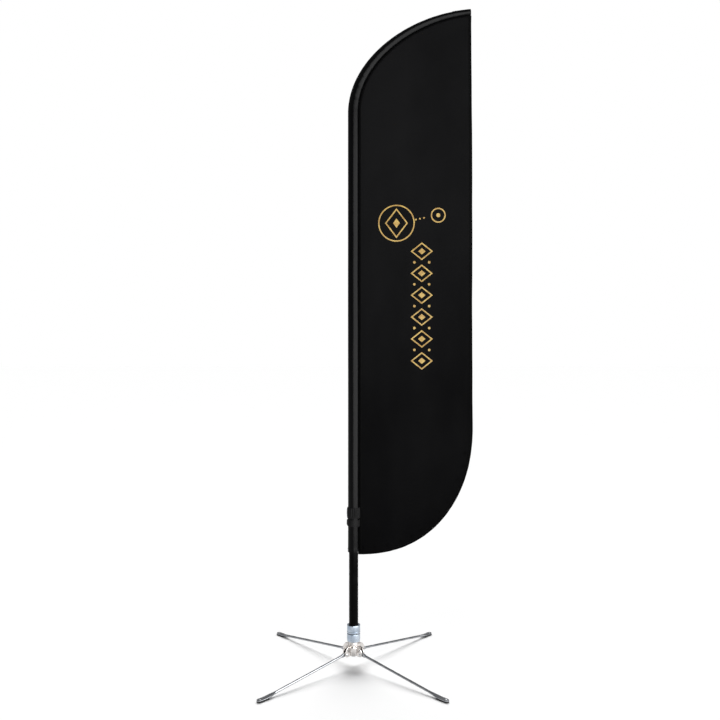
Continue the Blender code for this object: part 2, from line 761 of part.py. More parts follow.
def build_pole(axis, tube, fibre, plastic, rubber):
    floor = SOCKET_BOTTOM + SOCKET_FLOOR
    piece("lower_pole_tube", ring(LOWER_BORE, LOWER_RADIUS, LOWER_BOTTOM, LOWER_TOP), tube, axis)
    highest = floor + SPIGOT_HEIGHT - SPIGOT_RADIUS
    for name, low in (("lower", LOWER_BOTTOM), ("upper", highest - BUSH_LENGTH)):
        bush = ring(SPIGOT_RADIUS + GAP, LOWER_BORE - GAP, low, low + BUSH_LENGTH)
        piece(f"{name}_spigot_bush", bush, plastic, axis)
    ferrule = ferrule_mesh(LOWER_RADIUS, LOWER_BORE, LOWER_TOP)
    piece("lower_pole_ferrule", ferrule, plastic, axis)
    piece("middle_pole_tube", ring(MIDDLE_BORE, MIDDLE_RADIUS, MIDDLE_BOTTOM, MIDDLE_TOP), tube, axis)
    ferrule = ferrule_mesh(MIDDLE_RADIUS, MIDDLE_BORE, MIDDLE_TOP)
    piece("middle_pole_ferrule", ferrule, plastic, axis)
    piece("tip_pole", tip_pole_mesh(), fibre, axis)
    piece("tip_cap", cap_mesh(), rubber, axis)


def build_flag(axis, cloth, webbing):
    edge = free_edge()
    lower = edge[1:].copy()
    lower[0] += GAP * (lower[1] - lower[0]) / np.linalg.norm(lower[1] - lower[0])
    piece("flag_panel", upright(panel_outline(), 0, CLOTH_THICK), cloth, axis)
    piece("right_hem", upright(hem_outline(edge[:2]), 0, HEM_THICK), cloth, axis)
    piece("bottom_hem", upright(hem_outline(lower), 0, HEM_THICK), cloth, axis)
    piece("pole_sleeve", sleeve_mesh(), cloth, axis)
    piece("tip_pocket", pocket_mesh(), cloth, axis)
    inner = SLEEVE_RADIUS + GAP
    slot = math.asin((CLOTH_THICK / 2 + GAP) / inner)
    way_round = (slot, math.tau - slot)
    cuff = arc_band(inner, BAND_THICK, way_round, CUFF_BOTTOM, CUFF_BOTTOM + CUFF_HEIGHT)
    piece("elastic_cuff", cuff, webbing, axis)
    strap = arc_band(inner, BAND_THICK, way_round, STRAP_BOTTOM, STRAP_BOTTOM + STRAP_HEIGHT)
    piece("cinch_strap", strap, webbing, axis)
    low = STRAP_BOTTOM + (STRAP_HEIGHT - TAB_HEIGHT) / 2
    tab = arc_band(inner + BAND_THICK + GAP, TAB_THICK, TAB_ANGLES, low, low + TAB_HEIGHT, 8)
    piece("strap_tab", tab, webbing, axis)


def main():
    for item in list(bpy.data.objects):
        bpy.data.objects.remove(item, do_unlink=True)
    zinc = material("zinc_plated_steel", (0.62, 0.68, 0.74), 0.35, 1.0)
    chrome = material("nickel_chrome_plate", (0.78, 0.76, 0.74), 0.15, 1.0)
    steel = material("bright_steel", (0.60, 0.60, 0.60), 0.30, 1.0)
    rubber = material("black_rubber", (0.03, 0.03, 0.03), 0.85, 0.0)
    plastic = material("black_moulded_plastic", (0.03, 0.03, 0.03), 0.5, 0.0)
    tube = material("black_anodised_tube", (0.012, 0.012, 0.012), 0.35, 0.0)
    fibre = material("black_fibreglass", (0.012, 0.012, 0.012), 0.25, 0.0)
    cloth = material("black_polyester_cloth", (0.015, 0.015, 0.016), 0.8, 0.0)
    webbing = material("black_elastic_webbing", (0.012, 0.012, 0.012), 0.9, 0.0)
    axis = empty("pole_axis", location=(POLE_X, 0, 0))
    build_hub(axis, zinc, chrome, steel, rubber)
    build_legs(axis, chrome, steel, rubber)
    build_pole(axis, tube, fibre, plastic, rubber)
    build_flag(axis, cloth, webbing)


main()
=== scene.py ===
# %% [markdown]
# # A feather flag on a folding cross base
#
# A feather flag is a tall, narrow banner. A bent pole runs up a sleeve along one edge and holds the cloth
# tight, and the pole stands in a socket that turns on ball bearings, so the flag swings with the wind.
# Below that, four bars fold out into a cross. The frame, meaning every part that moves, fits or carries
# load, is already there when this script starts. The cells below dress it: they give each part its real
# surface, and they replace the plain cloth solids with sewn cloth. Lengths are in metres, +Z is up, and the
# flag hangs towards +X.

# %% Load the frame
import json

import bmesh
import bpy
import numpy as np
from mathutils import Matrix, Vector

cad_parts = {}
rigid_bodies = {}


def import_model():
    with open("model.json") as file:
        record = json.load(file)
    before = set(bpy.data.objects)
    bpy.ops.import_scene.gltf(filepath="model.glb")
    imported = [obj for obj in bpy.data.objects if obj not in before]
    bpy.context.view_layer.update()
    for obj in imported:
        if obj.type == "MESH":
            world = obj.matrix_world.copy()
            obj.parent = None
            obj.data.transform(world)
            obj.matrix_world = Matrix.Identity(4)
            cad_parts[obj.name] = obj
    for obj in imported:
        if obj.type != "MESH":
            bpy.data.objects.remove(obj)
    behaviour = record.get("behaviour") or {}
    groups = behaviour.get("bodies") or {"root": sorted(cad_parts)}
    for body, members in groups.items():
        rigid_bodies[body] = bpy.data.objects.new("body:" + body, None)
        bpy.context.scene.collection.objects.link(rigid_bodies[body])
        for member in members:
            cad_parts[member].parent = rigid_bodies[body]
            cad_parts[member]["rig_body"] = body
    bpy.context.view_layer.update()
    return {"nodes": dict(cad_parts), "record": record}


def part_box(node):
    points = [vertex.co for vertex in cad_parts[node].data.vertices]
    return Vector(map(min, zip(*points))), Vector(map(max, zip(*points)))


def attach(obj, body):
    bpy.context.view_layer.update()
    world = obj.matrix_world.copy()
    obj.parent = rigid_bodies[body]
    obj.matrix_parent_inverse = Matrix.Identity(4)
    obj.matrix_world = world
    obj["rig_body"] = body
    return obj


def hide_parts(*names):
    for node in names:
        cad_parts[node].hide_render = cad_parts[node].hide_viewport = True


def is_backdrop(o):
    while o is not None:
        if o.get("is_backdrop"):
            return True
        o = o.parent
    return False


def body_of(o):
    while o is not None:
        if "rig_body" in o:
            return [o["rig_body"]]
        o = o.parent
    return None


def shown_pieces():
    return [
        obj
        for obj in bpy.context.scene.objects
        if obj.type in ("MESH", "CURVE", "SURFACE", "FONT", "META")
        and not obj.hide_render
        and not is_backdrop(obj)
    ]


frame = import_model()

MM = 0.001

# %% [markdown]
# ## Places and sizes
#
# Every new piece sits where the frame says. A node's box gives its place at rest and a joint gives its
# axis, so almost no height is typed in by hand. The one thing that a box can't tell is the line of the bent
# pole. It is a cubic Bezier curve, which leaves the straight pole upright and arrives at the tip almost
# level, so its two handles are named here and the rest is read from the frame.

# %% Read the pole's line from the frame
joints = {joint["name"]: joint for joint in frame["record"]["behaviour"]["joints"]}
socket_low, socket_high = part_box("pole_socket")
sleeve_low, sleeve_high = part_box("pole_sleeve")
panel_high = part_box("flag_panel")[1]
POLE_X = (socket_low.x + socket_high.x) / 2
SLEEVE_RADIUS = (sleeve_high.y - sleeve_low.y) / 2
SLEEVE_TIP_RADIUS = 0.010
POCKET_LENGTH = 0.060
TIP_SLOPE = np.radians(5.1)
TIP = np.array([0.410, 2.283])  # the sleeve's end on its centre line, out from the pole's axis and up
BEND_START = np.array([0.0, 1.933])
BEND_PULL = 0.172  # how firmly the curve leaves upright, as a Bezier handle
TIP_PULL = 0.218  # how firmly it arrives at the tip
FIT = 0.3 * MM  # the working gap between parts that fit


def run_along(points):
    """The distance along a line from its first point to each of its points."""
    return np.concatenate([[0], np.cumsum(np.linalg.norm(np.diff(points, axis=0), axis=1))])


def points_at(at, run, points):
    """The points of a line at distances along it, when run is the distance to each point that it has."""
    return np.stack([np.interp(at, run, points[:, i]) for i in (0, 1)], axis=-1)


def unit(ways):
    """Directions with a length of 1."""
    return ways / np.linalg.norm(ways, axis=-1, keepdims=True)


def right_of(ways):
    """Directions (x, z) turned by 90 degrees to the right."""
    return np.stack([ways[..., 1], -ways[..., 0]], axis=-1)


def squared_off(wave, power):
    """A wave made more square by a power below 1: sign(w) |w|^power."""
    return np.sign(wave) * np.abs(wave) ** power


def bend_line(share):
    """The bend as a cubic Bezier, (1-t)^3 A + 3(1-t)^2 t B + 3(1-t) t^2 C + t^3 D, with t the share from 0
    to 1."""
    t = np.asarray(share)[:, None]
    leave = BEND_START + [0, BEND_PULL]
    arrive = TIP - TIP_PULL * np.array([np.cos(TIP_SLOPE), np.sin(TIP_SLOPE)])
    return (1 - t) ** 3 * BEND_START + 3 * (1 - t) ** 2 * t * leave + 3 * (1 - t) * t**2 * arrive + t**3 * TIP


line = np.concatenate([[[0, sleeve_low.z]], bend_line(np.linspace(0, 1, 500))])
line_run = run_along(line)
line_heading = np.gradient(line[1:], axis=0)
line_heading = np.concatenate([[[0, 1]], line_heading])
STRAIGHT = line_run[1]
SLEEVE_RUN = line_run[-1]


def on_pole(run):
    """Centre points and directions, both (x, z), at distances along the sleeve, and the sleeve's radius
    there."""
    centre = points_at(run, line_run, line)
    heading = unit(points_at(run, line_run, line_heading))
    share = np.clip((run - STRAIGHT) / (SLEEVE_RUN - STRAIGHT), 0, 1)
    return centre, heading, SLEEVE_RADIUS + (SLEEVE_TIP_RADIUS - SLEEVE_RADIUS) * share


print("pole axis at x", round(POLE_X, 4), "m, sleeve", round(SLEEVE_RUN, 3), "m long")

# %% [markdown]
# ## Turning numbers into meshes
#
# Every new piece is a surface of two parameters. Numpy works out a whole grid of points at once, rows one
# way and columns the other, and the grid becomes four-sided faces. Each face also gets UV coordinates in
# real metres, so that a weave keeps its size wherever the surface goes. Where a surface closes on itself,
# the last column repeats the first, and the points that meet are merged afterwards.


# %% Grids, outlines and pieces
def skin(points, round_columns=False, round_rows=False):
    """Points, four-sided faces and UVs of a grid. A UV is the distance along the row and along the column,
    in metres."""
    points = np.asarray(points, float)
    if round_columns:
        points = np.concatenate([points, points[:, :1]], axis=1)
    if round_rows:
        points = np.concatenate([points, points[:1]], axis=0)
    rows, columns = points.shape[:2]
    index = np.arange(rows * columns).reshape(rows, columns)
    faces = np.stack([index[:-1, :-1], index[:-1, 1:], index[1:, 1:], index[1:, :-1]], axis=-1)
    across = np.linalg.norm(np.diff(points, axis=1), axis=2).cumsum(axis=1)
    down = np.linalg.norm(np.diff(points, axis=0), axis=2).cumsum(axis=0)
    u = np.pad(across, ((0, 0), (1, 0))).mean(axis=0)[None, :].repeat(rows, axis=0)
    v = np.pad(down, ((1, 0), (0, 0))).mean(axis=1)[:, None].repeat(columns, axis=1)
    return points.reshape(-1, 3), faces.reshape(-1, 4), np.stack([u, v], axis=-1).reshape(-1, 2)


def make_piece(name, skins, finish, body, replaces=(), closed=True, sharp=35):
    """One object of all the skins: its points that meet are merged, and it rides on its body of the frame."""
    starts = np.cumsum([0] + [len(points) for points, _, _ in skins[:-1]])
    points = np.concatenate([points for points, _, _ in skins])
    faces = np.concatenate([faces + start for (_, faces, _), start in zip(skins, starts)])
    uvs = np.concatenate([uv for _, _, uv in skins])
    mesh = bpy.data.meshes.new(name)
    mesh.from_pydata(points.tolist(), [], faces.tolist())
    mesh.uv_layers.new(name="metres").data.foreach_set("uv", uvs[faces.ravel()].ravel())
    shell = bmesh.new()
    shell.from_mesh(mesh)
    bmesh.ops.remove_doubles(shell, verts=shell.verts, dist=2e-6)
    if closed:
        bmesh.ops.recalc_face_normals(shell, faces=shell.faces)
    shell.to_mesh(mesh)
    shell.free()
    mesh.shade_smooth()
    mesh.set_sharp_from_angle(angle=np.radians(sharp))
    made = bpy.data.objects.new(name, mesh)
    bpy.context.scene.collection.objects.link(made)
    mesh.materials.append(finish)
    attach(made, body)
    if replaces:
        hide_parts(*replaces)
    return made


def rounded(corners, radius, steps=5):
    """An outline whose corners are curves, (1-t)^2 A + 2t(1-t) C + t^2 B: C is the corner, A and B are on
    its sides."""
    corners = np.asarray(corners, float)
    radius = np.broadcast_to(radius, len(corners)).astype(float)
    t = np.linspace(0, 1, steps)[None, :, None]
    ends = []
    for neighbour in (np.roll(corners, 1, axis=0), np.roll(corners, -1, axis=0)):
        side = neighbour - corners
        length = np.linalg.norm(side, axis=1)
        reach = np.minimum(radius, 0.48 * length) / np.maximum(length, 1e-9)
        ends.append((corners + side * reach[:, None])[:, None])
    curve = (1 - t) ** 2 * ends[0] + 2 * t * (1 - t) * corners[:, None] + t**2 * ends[1]
    return curve.reshape(-1, 2)


def turned(profile, segments=96, centre=(POLE_X, 0.0, 0.0)):
    """A surface of revolution: each (radius, height) of the profile, carried round the upright line through
    centre."""
    profile = np.asarray(profile, float)
    angle = np.linspace(0, 2 * np.pi, segments + 1)[None, :]
    radius = profile[:, :1]
    height = np.broadcast_to(profile[:, 1:], (len(profile), segments + 1))
    points = np.stack([radius * np.cos(angle), radius * np.sin(angle), height], axis=-1)
    return skin(points + np.asarray(centre))


def inset(outline, distance):
    """A closed outline moved inwards: each point goes along the normal, which is its neighbours' chord
    turned by 90 degrees."""
    chord = np.roll(outline, -1, axis=0) - np.roll(outline, 1, axis=0)
    chord /= np.linalg.norm(chord, axis=1)[:, None]
    area = np.sum(outline[:, 0] * np.roll(outline[:, 1], -1) - np.roll(outline[:, 0], -1) * outline[:, 1])
    return outline + np.sign(area) * distance * np.stack([-chord[:, 1], chord[:, 0]], axis=1)


def slab(outline, low, high, edge, steps=4):
    """A plate with rounded rims, as points (x, y, z): the outline drawn in by edge*(1-sin a) while it rises
    edge*(1-cos a)."""
    turn = np.linspace(0, np.pi / 2, steps)
    drawn_in = edge * (1 - np.sin(turn))
    lift = edge * (1 - np.cos(turn))
    offsets = np.concatenate([drawn_in, drawn_in[::-1]])
    heights = np.concatenate([low + lift, high - lift[::-1]])
    centre = outline.mean(axis=0)
    rows = [np.column_stack([inset(outline, d), np.full(len(outline), z)]) for d, z in zip(offsets, heights)]
    bottom = np.broadcast_to([*centre, low], rows[0].shape)
    top = np.broadcast_to([*centre, high], rows[0].shape)
    return np.stack([bottom, *rows, top])


def turn_about(points, degrees, centre=(POLE_X, 0.0, 0.0)):
    """Points made as if the piece reached out along +X from the origin, turned about the upright line at
    centre."""
    angle = np.radians(degrees)
    x, y, z = points[..., 0], points[..., 1], points[..., 2]
    new_x = x * np.cos(angle) - y * np.sin(angle)
    new_y = x * np.sin(angle) + y * np.cos(angle)
    return np.stack([new_x, new_y, z], axis=-1) + np.asarray(centre)


# %% [markdown]
# ## Finishes
#
# Each material starts from what the real one is. Colours are written as the hex values that a screen shows,
# and one function turns them into the linear values that a renderer works with. A second function adds a
# node and links it. A third starts a material and sets on its shader everything that is the same all over.


# %% Colour and node helpers
def linear(hex_colour):
    """A hex colour as linear RGBA: c/12.92 up to 0.04045, and ((c+0.055)/1.055)^2.4 above it."""
    c = np.array([int(hex_colour[i : i + 2], 16) for i in (1, 3, 5)]) / 255
    return (*np.where(c <= 0.04045, c / 12.92, ((c + 0.055) / 1.055) ** 2.4).tolist(), 1.0)


def node(tree, kind, inputs=None, **settings):
    """Adds one shader node. Each input is a value, or another node's output to link."""
    made = tree.nodes.new("ShaderNode" + kind)
    for name, value in settings.items():
        setattr(made, name, value)
    for socket, value in (inputs or {}).items():
        if isinstance(value, bpy.types.NodeSocket):
            tree.links.new(value, made.inputs[socket])
        else:
            made.inputs[socket].default_value = value
    return made


def start_material(name, constants):
    """A new material, as its tree and its shader, with the shader's constant sockets set."""
    made = bpy.data.materials.new(name)
    made.use_nodes = True
    shader = made.node_tree.nodes["Principled BSDF"]
    for socket, value in constants.items():
        shader.inputs[socket].default_value = value
    return made, made.node_tree, shader


def object_place(tree, scale=(1, 1, 1), turn=(0, 0, 0), source="Object"):
    """Coordinates in metres, stretched by scale: a scale of 1/pitch makes a pattern repeat once in each
    pitch."""
    place = node(tree, "TexCoord").outputs[source]
    return node(tree, "Mapping", {"Vector": place, "Scale": scale, "Rotation": turn}).outputs[0]


def finish_material(made, tree, shader, colour=None, roughness=None, height=None, depth=0.0, strength=1.0):
    """Links what varies over the surface: the colour, the roughness, and a bump whose full height is depth
    metres."""
    if colour is not None:
        tree.links.new(colour, shader.inputs["Base Color"])
    if roughness is not None:
        tree.links.new(roughness, shader.inputs["Roughness"])
    if height is not None:
        bump = node(tree, "Bump", {"Height": height, "Distance": depth, "Strength": strength})
        tree.links.new(bump.outputs[0], shader.inputs["Normal"])
    return made


# %% [markdown]
# ### Knitted flag cloth
#
# Flag cloth is a light warp-knitted polyester, dyed black. Close up it is rows of loops about 0.8 mm apart
# with tiny holes between them, and from further off it is a matt black that catches a faint sheen. The
# loops are two crossed waves. They are drawn at twice their real pitch, because finer ones vanish in a
# picture. Dye takes unevenly, so a slow noise moves the black a little. The black is also painted paler
# towards the top and towards the pole, which is painted light, and darker in the hem's pinches, which is
# painted shade.


# %% Knitted polyester
BAND = 0.314  # a wave texture repeats each 0.314 / scale, so this scale draws one band in each pitch


def knitted_polyester(name, deep, pale):
    """Knitted cloth painted from a deep black near its foot to a paler one at its top, as painted light,
    and darker in its pinches, as painted shade."""
    made, tree, shader = start_material(
        name, {"Specular IOR Level": 0.02, "Sheen Weight": 0.01, "Sheen Roughness": 0.5}
    )
    pitch = 1.6 * MM  # twice the real 0.8 mm
    place = object_place(tree, (1 / pitch, 1 / pitch, 1 / pitch))
    wales = node(tree, "TexWave", {"Vector": place, "Scale": BAND, "Distortion": 0.4}, bands_direction="X")
    courses = node(tree, "TexWave", {"Vector": place, "Scale": 0.25, "Distortion": 0.6}, bands_direction="Z")
    loops = node(tree, "Math", {0: wales.outputs[1], 1: courses.outputs[1]}, operation="MULTIPLY").outputs[0]
    broad = object_place(tree, (3.4, 3.4, 1.7))
    dye = node(tree, "TexNoise", {"Vector": broad, "Scale": 1.0, "Detail": 3.0, "Roughness": 0.6}).outputs[0]
    dye = node(tree, "MapRange", {0: dye, 1: 0.35, 2: 0.65, 3: -0.18, 4: 0.22}).outputs[0]
    spot = node(tree, "SeparateXYZ", {0: object_place(tree)})
    # Painted light: the black is paler towards the top and towards the pole, and the slow dye noise is added.
    painted_light_and_dye = node(tree, "MapRange", {0: spot.outputs[2], 1: 0.45, 2: 1.8, 3: 0.12, 4: 0.9}).outputs[0]
    across = node(tree, "MapRange", {0: spot.outputs[0], 1: -0.06, 2: 0.34, 3: 1.2, 4: 0.72}).outputs[0]
    painted_light_and_dye = node(tree, "Math", {0: painted_light_and_dye, 1: across}, operation="MULTIPLY").outputs[0]
    painted_light_and_dye = node(tree, "Math", {0: painted_light_and_dye, 1: dye}, operation="ADD", use_clamp=True).outputs[0]
    black = node(tree, "Mix", {0: painted_light_and_dye, 6: linear(deep), 7: linear(pale)}, data_type="RGBA").outputs[2]
    pinch = node(tree, "Attribute", attribute_name="pinch").outputs[2]
    # Painted shade: the cloth's colour is darkened towards #010101 in the hem's pinches.
    black = node(tree, "Mix", {0: pinch, 6: black, 7: linear("#010101")}, data_type="RGBA").outputs[2]
    fleck = node(tree, "TexNoise", {"Vector": object_place(tree), "Scale": 420.0, "Detail": 2.0}).outputs[0]
    rough = node(tree, "MapRange", {0: fleck, 3: 0.72, 4: 0.9}).outputs[0]
    return finish_material(made, tree, shader, black, rough, loops, 0.25 * MM, 0.6)


flag_cloth_finish = knitted_polyester("knitted_polyester_black", "#040405", "#1c1c1d")
# The hems and the seam get a darker copy of the flag cloth: painted shade.
folded_painted_shade_finish = knitted_polyester("knitted_polyester_folded_painted_shade", "#020202", "#0c0c0d")

# %% [markdown]
# ### Coated satin for the sleeve
#
# The sleeve takes all the wear from the pole, so it is a closer, heavier cloth with a coating on it, and it
# shines along its length where the knit doesn't. The finish is a fine twill at 45 degrees, and long,
# shallow pulls in the cloth that break up the highlight.


# %% Coated satin
def coated_satin():
    made, tree, shader = start_material(
        "coated_satin_black",
        {"Specular IOR Level": 0.065},
    )
    pitch = 1.2 * MM  # a real twill line is about 0.5 mm
    place = object_place(tree, (1 / pitch, 1 / pitch, 1 / pitch), (0, 0, np.radians(45)), "UV")
    twill = node(tree, "TexWave", {"Vector": place, "Scale": BAND, "Distortion": 0.3}, bands_direction="X")
    pulls = object_place(tree, (140.0, 9.0, 1.0), source="UV")
    pull = node(tree, "TexNoise", {"Vector": pulls, "Scale": 1.0, "Detail": 3.0}).outputs[0]
    height = node(tree, "Math", {0: twill.outputs[1], 1: 0.12, 2: pull}, operation="MULTIPLY_ADD").outputs[0]
    # Painted shade: the colour follows the long pulls, paler on their crests and darker in their hollows.
    shade = node(tree, "MapRange", {0: pull, 1: 0.3, 2: 0.7}).outputs[0]
    black = node(
        tree, "Mix", {0: shade, 6: linear("#030304"), 7: linear("#09090a")}, data_type="RGBA"
    ).outputs[2]
    rough = node(tree, "MapRange", {0: pull, 3: 0.2, 4: 0.3}).outputs[0]
    return finish_material(made, tree, shader, black, rough, height, 0.5 * MM, 0.5)


sleeve_finish = coated_satin()

# %% [markdown]
# ### Elastic, webbing and thread
#
# Knitted elastic shows fine ribs that run round the band. Webbing is woven in small chevrons. Both are
# narrow, so their patterns follow the band's own UVs, whose first number is the way round and second the
# way up. Thread is twisted polyester with a soft shine.


# %% Elastic, webbing and thread
def narrow_fabric(name, across, along, dark, light, depth):
    """Two crossed waves on UVs in metres: across and along are the pitches of the ribs and of the picks, in
    metres."""
    made, tree, shader = start_material(name, {"Specular IOR Level": 0.12, "Sheen Weight": 0.03})
    place = object_place(tree, (1 / along, 1 / across, 1.0), source="UV")
    ribs = node(tree, "TexWave", {"Vector": place, "Scale": BAND, "Distortion": 0.2}, bands_direction="Y")
    picks = node(tree, "TexWave", {"Vector": place, "Scale": BAND, "Distortion": 0.8}, bands_direction="X")
    relief = {0: picks.outputs[1], 1: 0.4, 2: ribs.outputs[1]}
    height = node(tree, "Math", relief, operation="MULTIPLY_ADD").outputs[0]
    # Painted shade: the colour follows the relief, darker in the grooves between the ribs and the picks.
    shade = node(tree, "MapRange", {0: height, 1: 0.0, 2: 1.4}).outputs[0]
    black = node(tree, "Mix", {0: shade, 6: linear(dark), 7: linear(light)}, data_type="RGBA").outputs[2]
    rough = node(tree, "MapRange", {0: ribs.outputs[1], 3: 0.75, 4: 0.5}).outputs[0]
    return finish_material(made, tree, shader, black, rough, height, depth, 0.8)


elastic_finish = narrow_fabric("knitted_elastic_black", 1.5 * MM, 2.2 * MM, "#020203", "#0b0b0c", 0.35 * MM)
webbing_finish = narrow_fabric("woven_webbing_black", 1.8 * MM, 1.8 * MM, "#030304", "#0e0e0f", 0.30 * MM)
thread_finish = narrow_fabric("twisted_polyester_thread", 0.5 * MM, 0.9 * MM, "#0a0a0b", "#222224", 0.10 * MM)

# %% [markdown]
# ### Gold print
#
# The ornament on the flag is screen printed: a thin, opaque film of gold-yellow ink. Ink lies a little
# unevenly on a knit, so its colour drifts between two golds and fine pores show in it.


# %% Printed ink
def printed_ink(name, dark, light, roughness):
    made, tree, shader = start_material(name, {"Specular IOR Level": 0.35})
    grain = node(tree, "TexNoise", {"Vector": object_place(tree), "Scale": 55.0, "Detail": 3.0}).outputs[0]
    drift = node(tree, "MapRange", {0: grain, 1: 0.38, 2: 0.62}).outputs[0]
    colour = node(tree, "Mix", {0: drift, 6: linear(dark), 7: linear(light)}, data_type="RGBA").outputs[2]
    pores = node(tree, "TexVoronoi", {"Vector": object_place(tree), "Scale": 625.0}).outputs[0]
    rough = node(tree, "MapRange", {0: pores, 3: roughness - 0.08, 4: roughness + 0.12}).outputs[0]
    return finish_material(made, tree, shader, colour, rough, pores, 0.08 * MM, 0.5)


gold_finish = printed_ink("screen_printed_gold_ink", "#c9992f", "#efc75c", 0.5)
gold_back_finish = printed_ink("gold_ink_soaked_through", "#6b5220", "#8a6a2b", 0.75)

# %% [markdown]
# ### Tubes, metals, rubber and nylon
#
# Turned metal keeps the fine rings of the tool, drawn tube and bar keep lines along their length, and cast
# parts are smooth with a slight ripple under the plating. So each metal is one noise stretched in the
# direction that the tool went. A second, broad noise gives the cloudiness of plating and handling. Metals
# keep the default IOR.


# %% Metals
def worked_metal(name, dark, light, low, high, stretch, depth, source="Object", **constants):
    """A metal whose marks are a noise stretched by (x, y, z) cells for each metre, on a cloudy colour."""
    settings = {"Metallic": 1.0} | {socket.replace("_", " "): value for socket, value in constants.items()}
    made, tree, shader = start_material(name, settings)
    marks = object_place(tree, stretch, source=source)
    noise = {"Vector": marks, "Scale": 1.0, "Detail": 4.0, "Roughness": 0.6}
    marks = node(tree, "TexNoise", noise).outputs[0]
    cloud = node(tree, "TexNoise", {"Vector": object_place(tree), "Scale": 38.0, "Detail": 3.0}).outputs[0]
    cloud = node(tree, "MapRange", {0: cloud, 1: 0.3, 2: 0.7}).outputs[0]
    colour = node(tree, "Mix", {0: cloud, 6: linear(dark), 7: linear(light)}, data_type="RGBA").outputs[2]
    blend = node(tree, "Math", {0: marks, 1: 0.5, 2: 0.0}, operation="MULTIPLY_ADD").outputs[0]
    blend = node(tree, "Math", {0: cloud, 1: 0.5, 2: blend}, operation="MULTIPLY_ADD").outputs[0]
    rough = node(tree, "MapRange", {0: blend, 1: 0.25, 2: 0.75, 3: low, 4: high}).outputs[0]
    return finish_material(made, tree, shader, colour, rough, marks, depth, 1.0)


RINGS = (12.0, 12.0, 2200.0)  # turned: rings about 0.45 mm apart, drawn coarser than the tool's 0.1 mm
DRAWN = (700.0, 4.0, 1.0)  # drawn, on UVs: lines about 1.4 mm apart round the bar, 250 mm long
CAST = (160.0, 160.0, 160.0)  # cast and plated: a ripple about 6 mm across
WOUND = (60.0, 60.0, 420.0)  # wound fibre: turns about 2.4 mm apart up the pole
zinc_finish = worked_metal("zinc_plated_turned_steel", "#98a5b4", "#c3cdd8", 0.16, 0.28, RINGS, 0.01 * MM)
nickel_finish = worked_metal(
    "nickel_chrome_plated_casting", "#c6c1bd", "#e4e0dd", 0.08, 0.18, CAST, 0.015 * MM
)
bar_finish = worked_metal(
    "chrome_plated_steel_bar", "#8c8e92", "#a9abae", 0.16, 0.26, DRAWN, 0.003 * MM, "UV"
)
steel_finish = worked_metal("bright_turned_steel", "#a4a7ab", "#c6c9cc", 0.16, 0.3, CAST, 0.01 * MM)
# Anodising leaves a glassy black oxide on the aluminium, so it is shaded as a dark, hard dielectric.
tube_finish = worked_metal(
    "black_anodised_drawn_tube", "#020202", "#070708", 0.22, 0.34, DRAWN, 0.01 * MM, "UV",
    Metallic=0.0, Specular_IOR_Level=0.035,
)
fibre_finish = worked_metal(
    "lacquered_black_fibreglass", "#08080a", "#141416", 0.2, 0.34, WOUND, 0.03 * MM,
    Metallic=0.0, Coat_Weight=0.3, Coat_Roughness=0.12,
)


# %% Rubber and nylon
def moulded(name, dark, light, low, high, grain, depth):
    """A moulded polymer: a spark-eroded grain of this pitch, in metres, and a faint change of shade."""
    made, tree, shader = start_material(name, {"Specular IOR Level": 0.4})
    grit = {"Vector": object_place(tree), "Scale": 1 / grain, "Detail": 2.0}
    cells = node(tree, "TexNoise", grit).outputs[0]
    broad = node(tree, "TexNoise", {"Vector": object_place(tree), "Scale": 60.0, "Detail": 2.0}).outputs[0]
    shade = node(tree, "MapRange", {0: broad, 1: 0.35, 2: 0.65}).outputs[0]
    colour = node(tree, "Mix", {0: shade, 6: linear(dark), 7: linear(light)}, data_type="RGBA").outputs[2]
    rough = node(tree, "MapRange", {0: cells, 3: low, 4: high}).outputs[0]
    return finish_material(made, tree, shader, colour, rough, cells, depth, 0.7)


rubber_finish = moulded("moulded_black_rubber", "#121212", "#1f1f1f", 0.7, 0.9, 0.8 * MM, 0.08 * MM)
nylon_finish = moulded("moulded_black_nylon", "#101011", "#1a1a1b", 0.4, 0.6, 0.6 * MM, 0.05 * MM)
print(len(bpy.data.materials), "materials so far, the frame's own among them")

# %% [markdown]
# ## The parts that stay
#
# Bearings, bushes, the inner tubes and the tip pole are hidden inside others and their shapes are right, so
# they stay as the frame has them. Each only trades its plain colour for the finish of its real material.

# %% Give the frame's own parts their finishes
kept_parts = {
    "steel": ("lower_bearing_outer_ring", "upper_bearing_outer_ring", "lower_bearing_inner_ring",
              "upper_bearing_inner_ring", "lower_ball_cage", "upper_ball_cage", "outer_bearing_spacer",
              "inner_bearing_spacer", "bearing_circlip", "shaft_washer", "shaft_nut"),
    "nylon": ("lower_spigot_bush", "upper_spigot_bush", "lower_pole_ferrule", "middle_pole_ferrule"),
    "tube": ("middle_pole_tube",),
    "fibre": ("tip_pole",),
    "rubber": ("tip_cap",),
}
kept_finishes = {
    "steel": steel_finish,
    "nylon": nylon_finish,
    "tube": tube_finish,
    "fibre": fibre_finish,
    "rubber": rubber_finish,
}
for kind, names in kept_parts.items():
    for name in names:
        for slot in frame["nodes"][name].material_slots:
            slot.material = kept_finishes[kind]
print(sum(len(names) for names in kept_parts.values()), "parts of the frame stay")

# %% [markdown]
# ## The flag's cloth
#
# The cloth is one flat cut: straight up the pole, round the bend, straight down the free edge and round the
# lower corner. Stretched between the pole and its own weight it is nearly flat, so it is drawn and not
# simulated. What the eye reads is a slow wave of a few millimetres, so one function gives the cloth's
# distance from its plane anywhere, and the cloth, its hems and its print all ask that same function. It is
# still at the pole, because the sleeve holds it there.

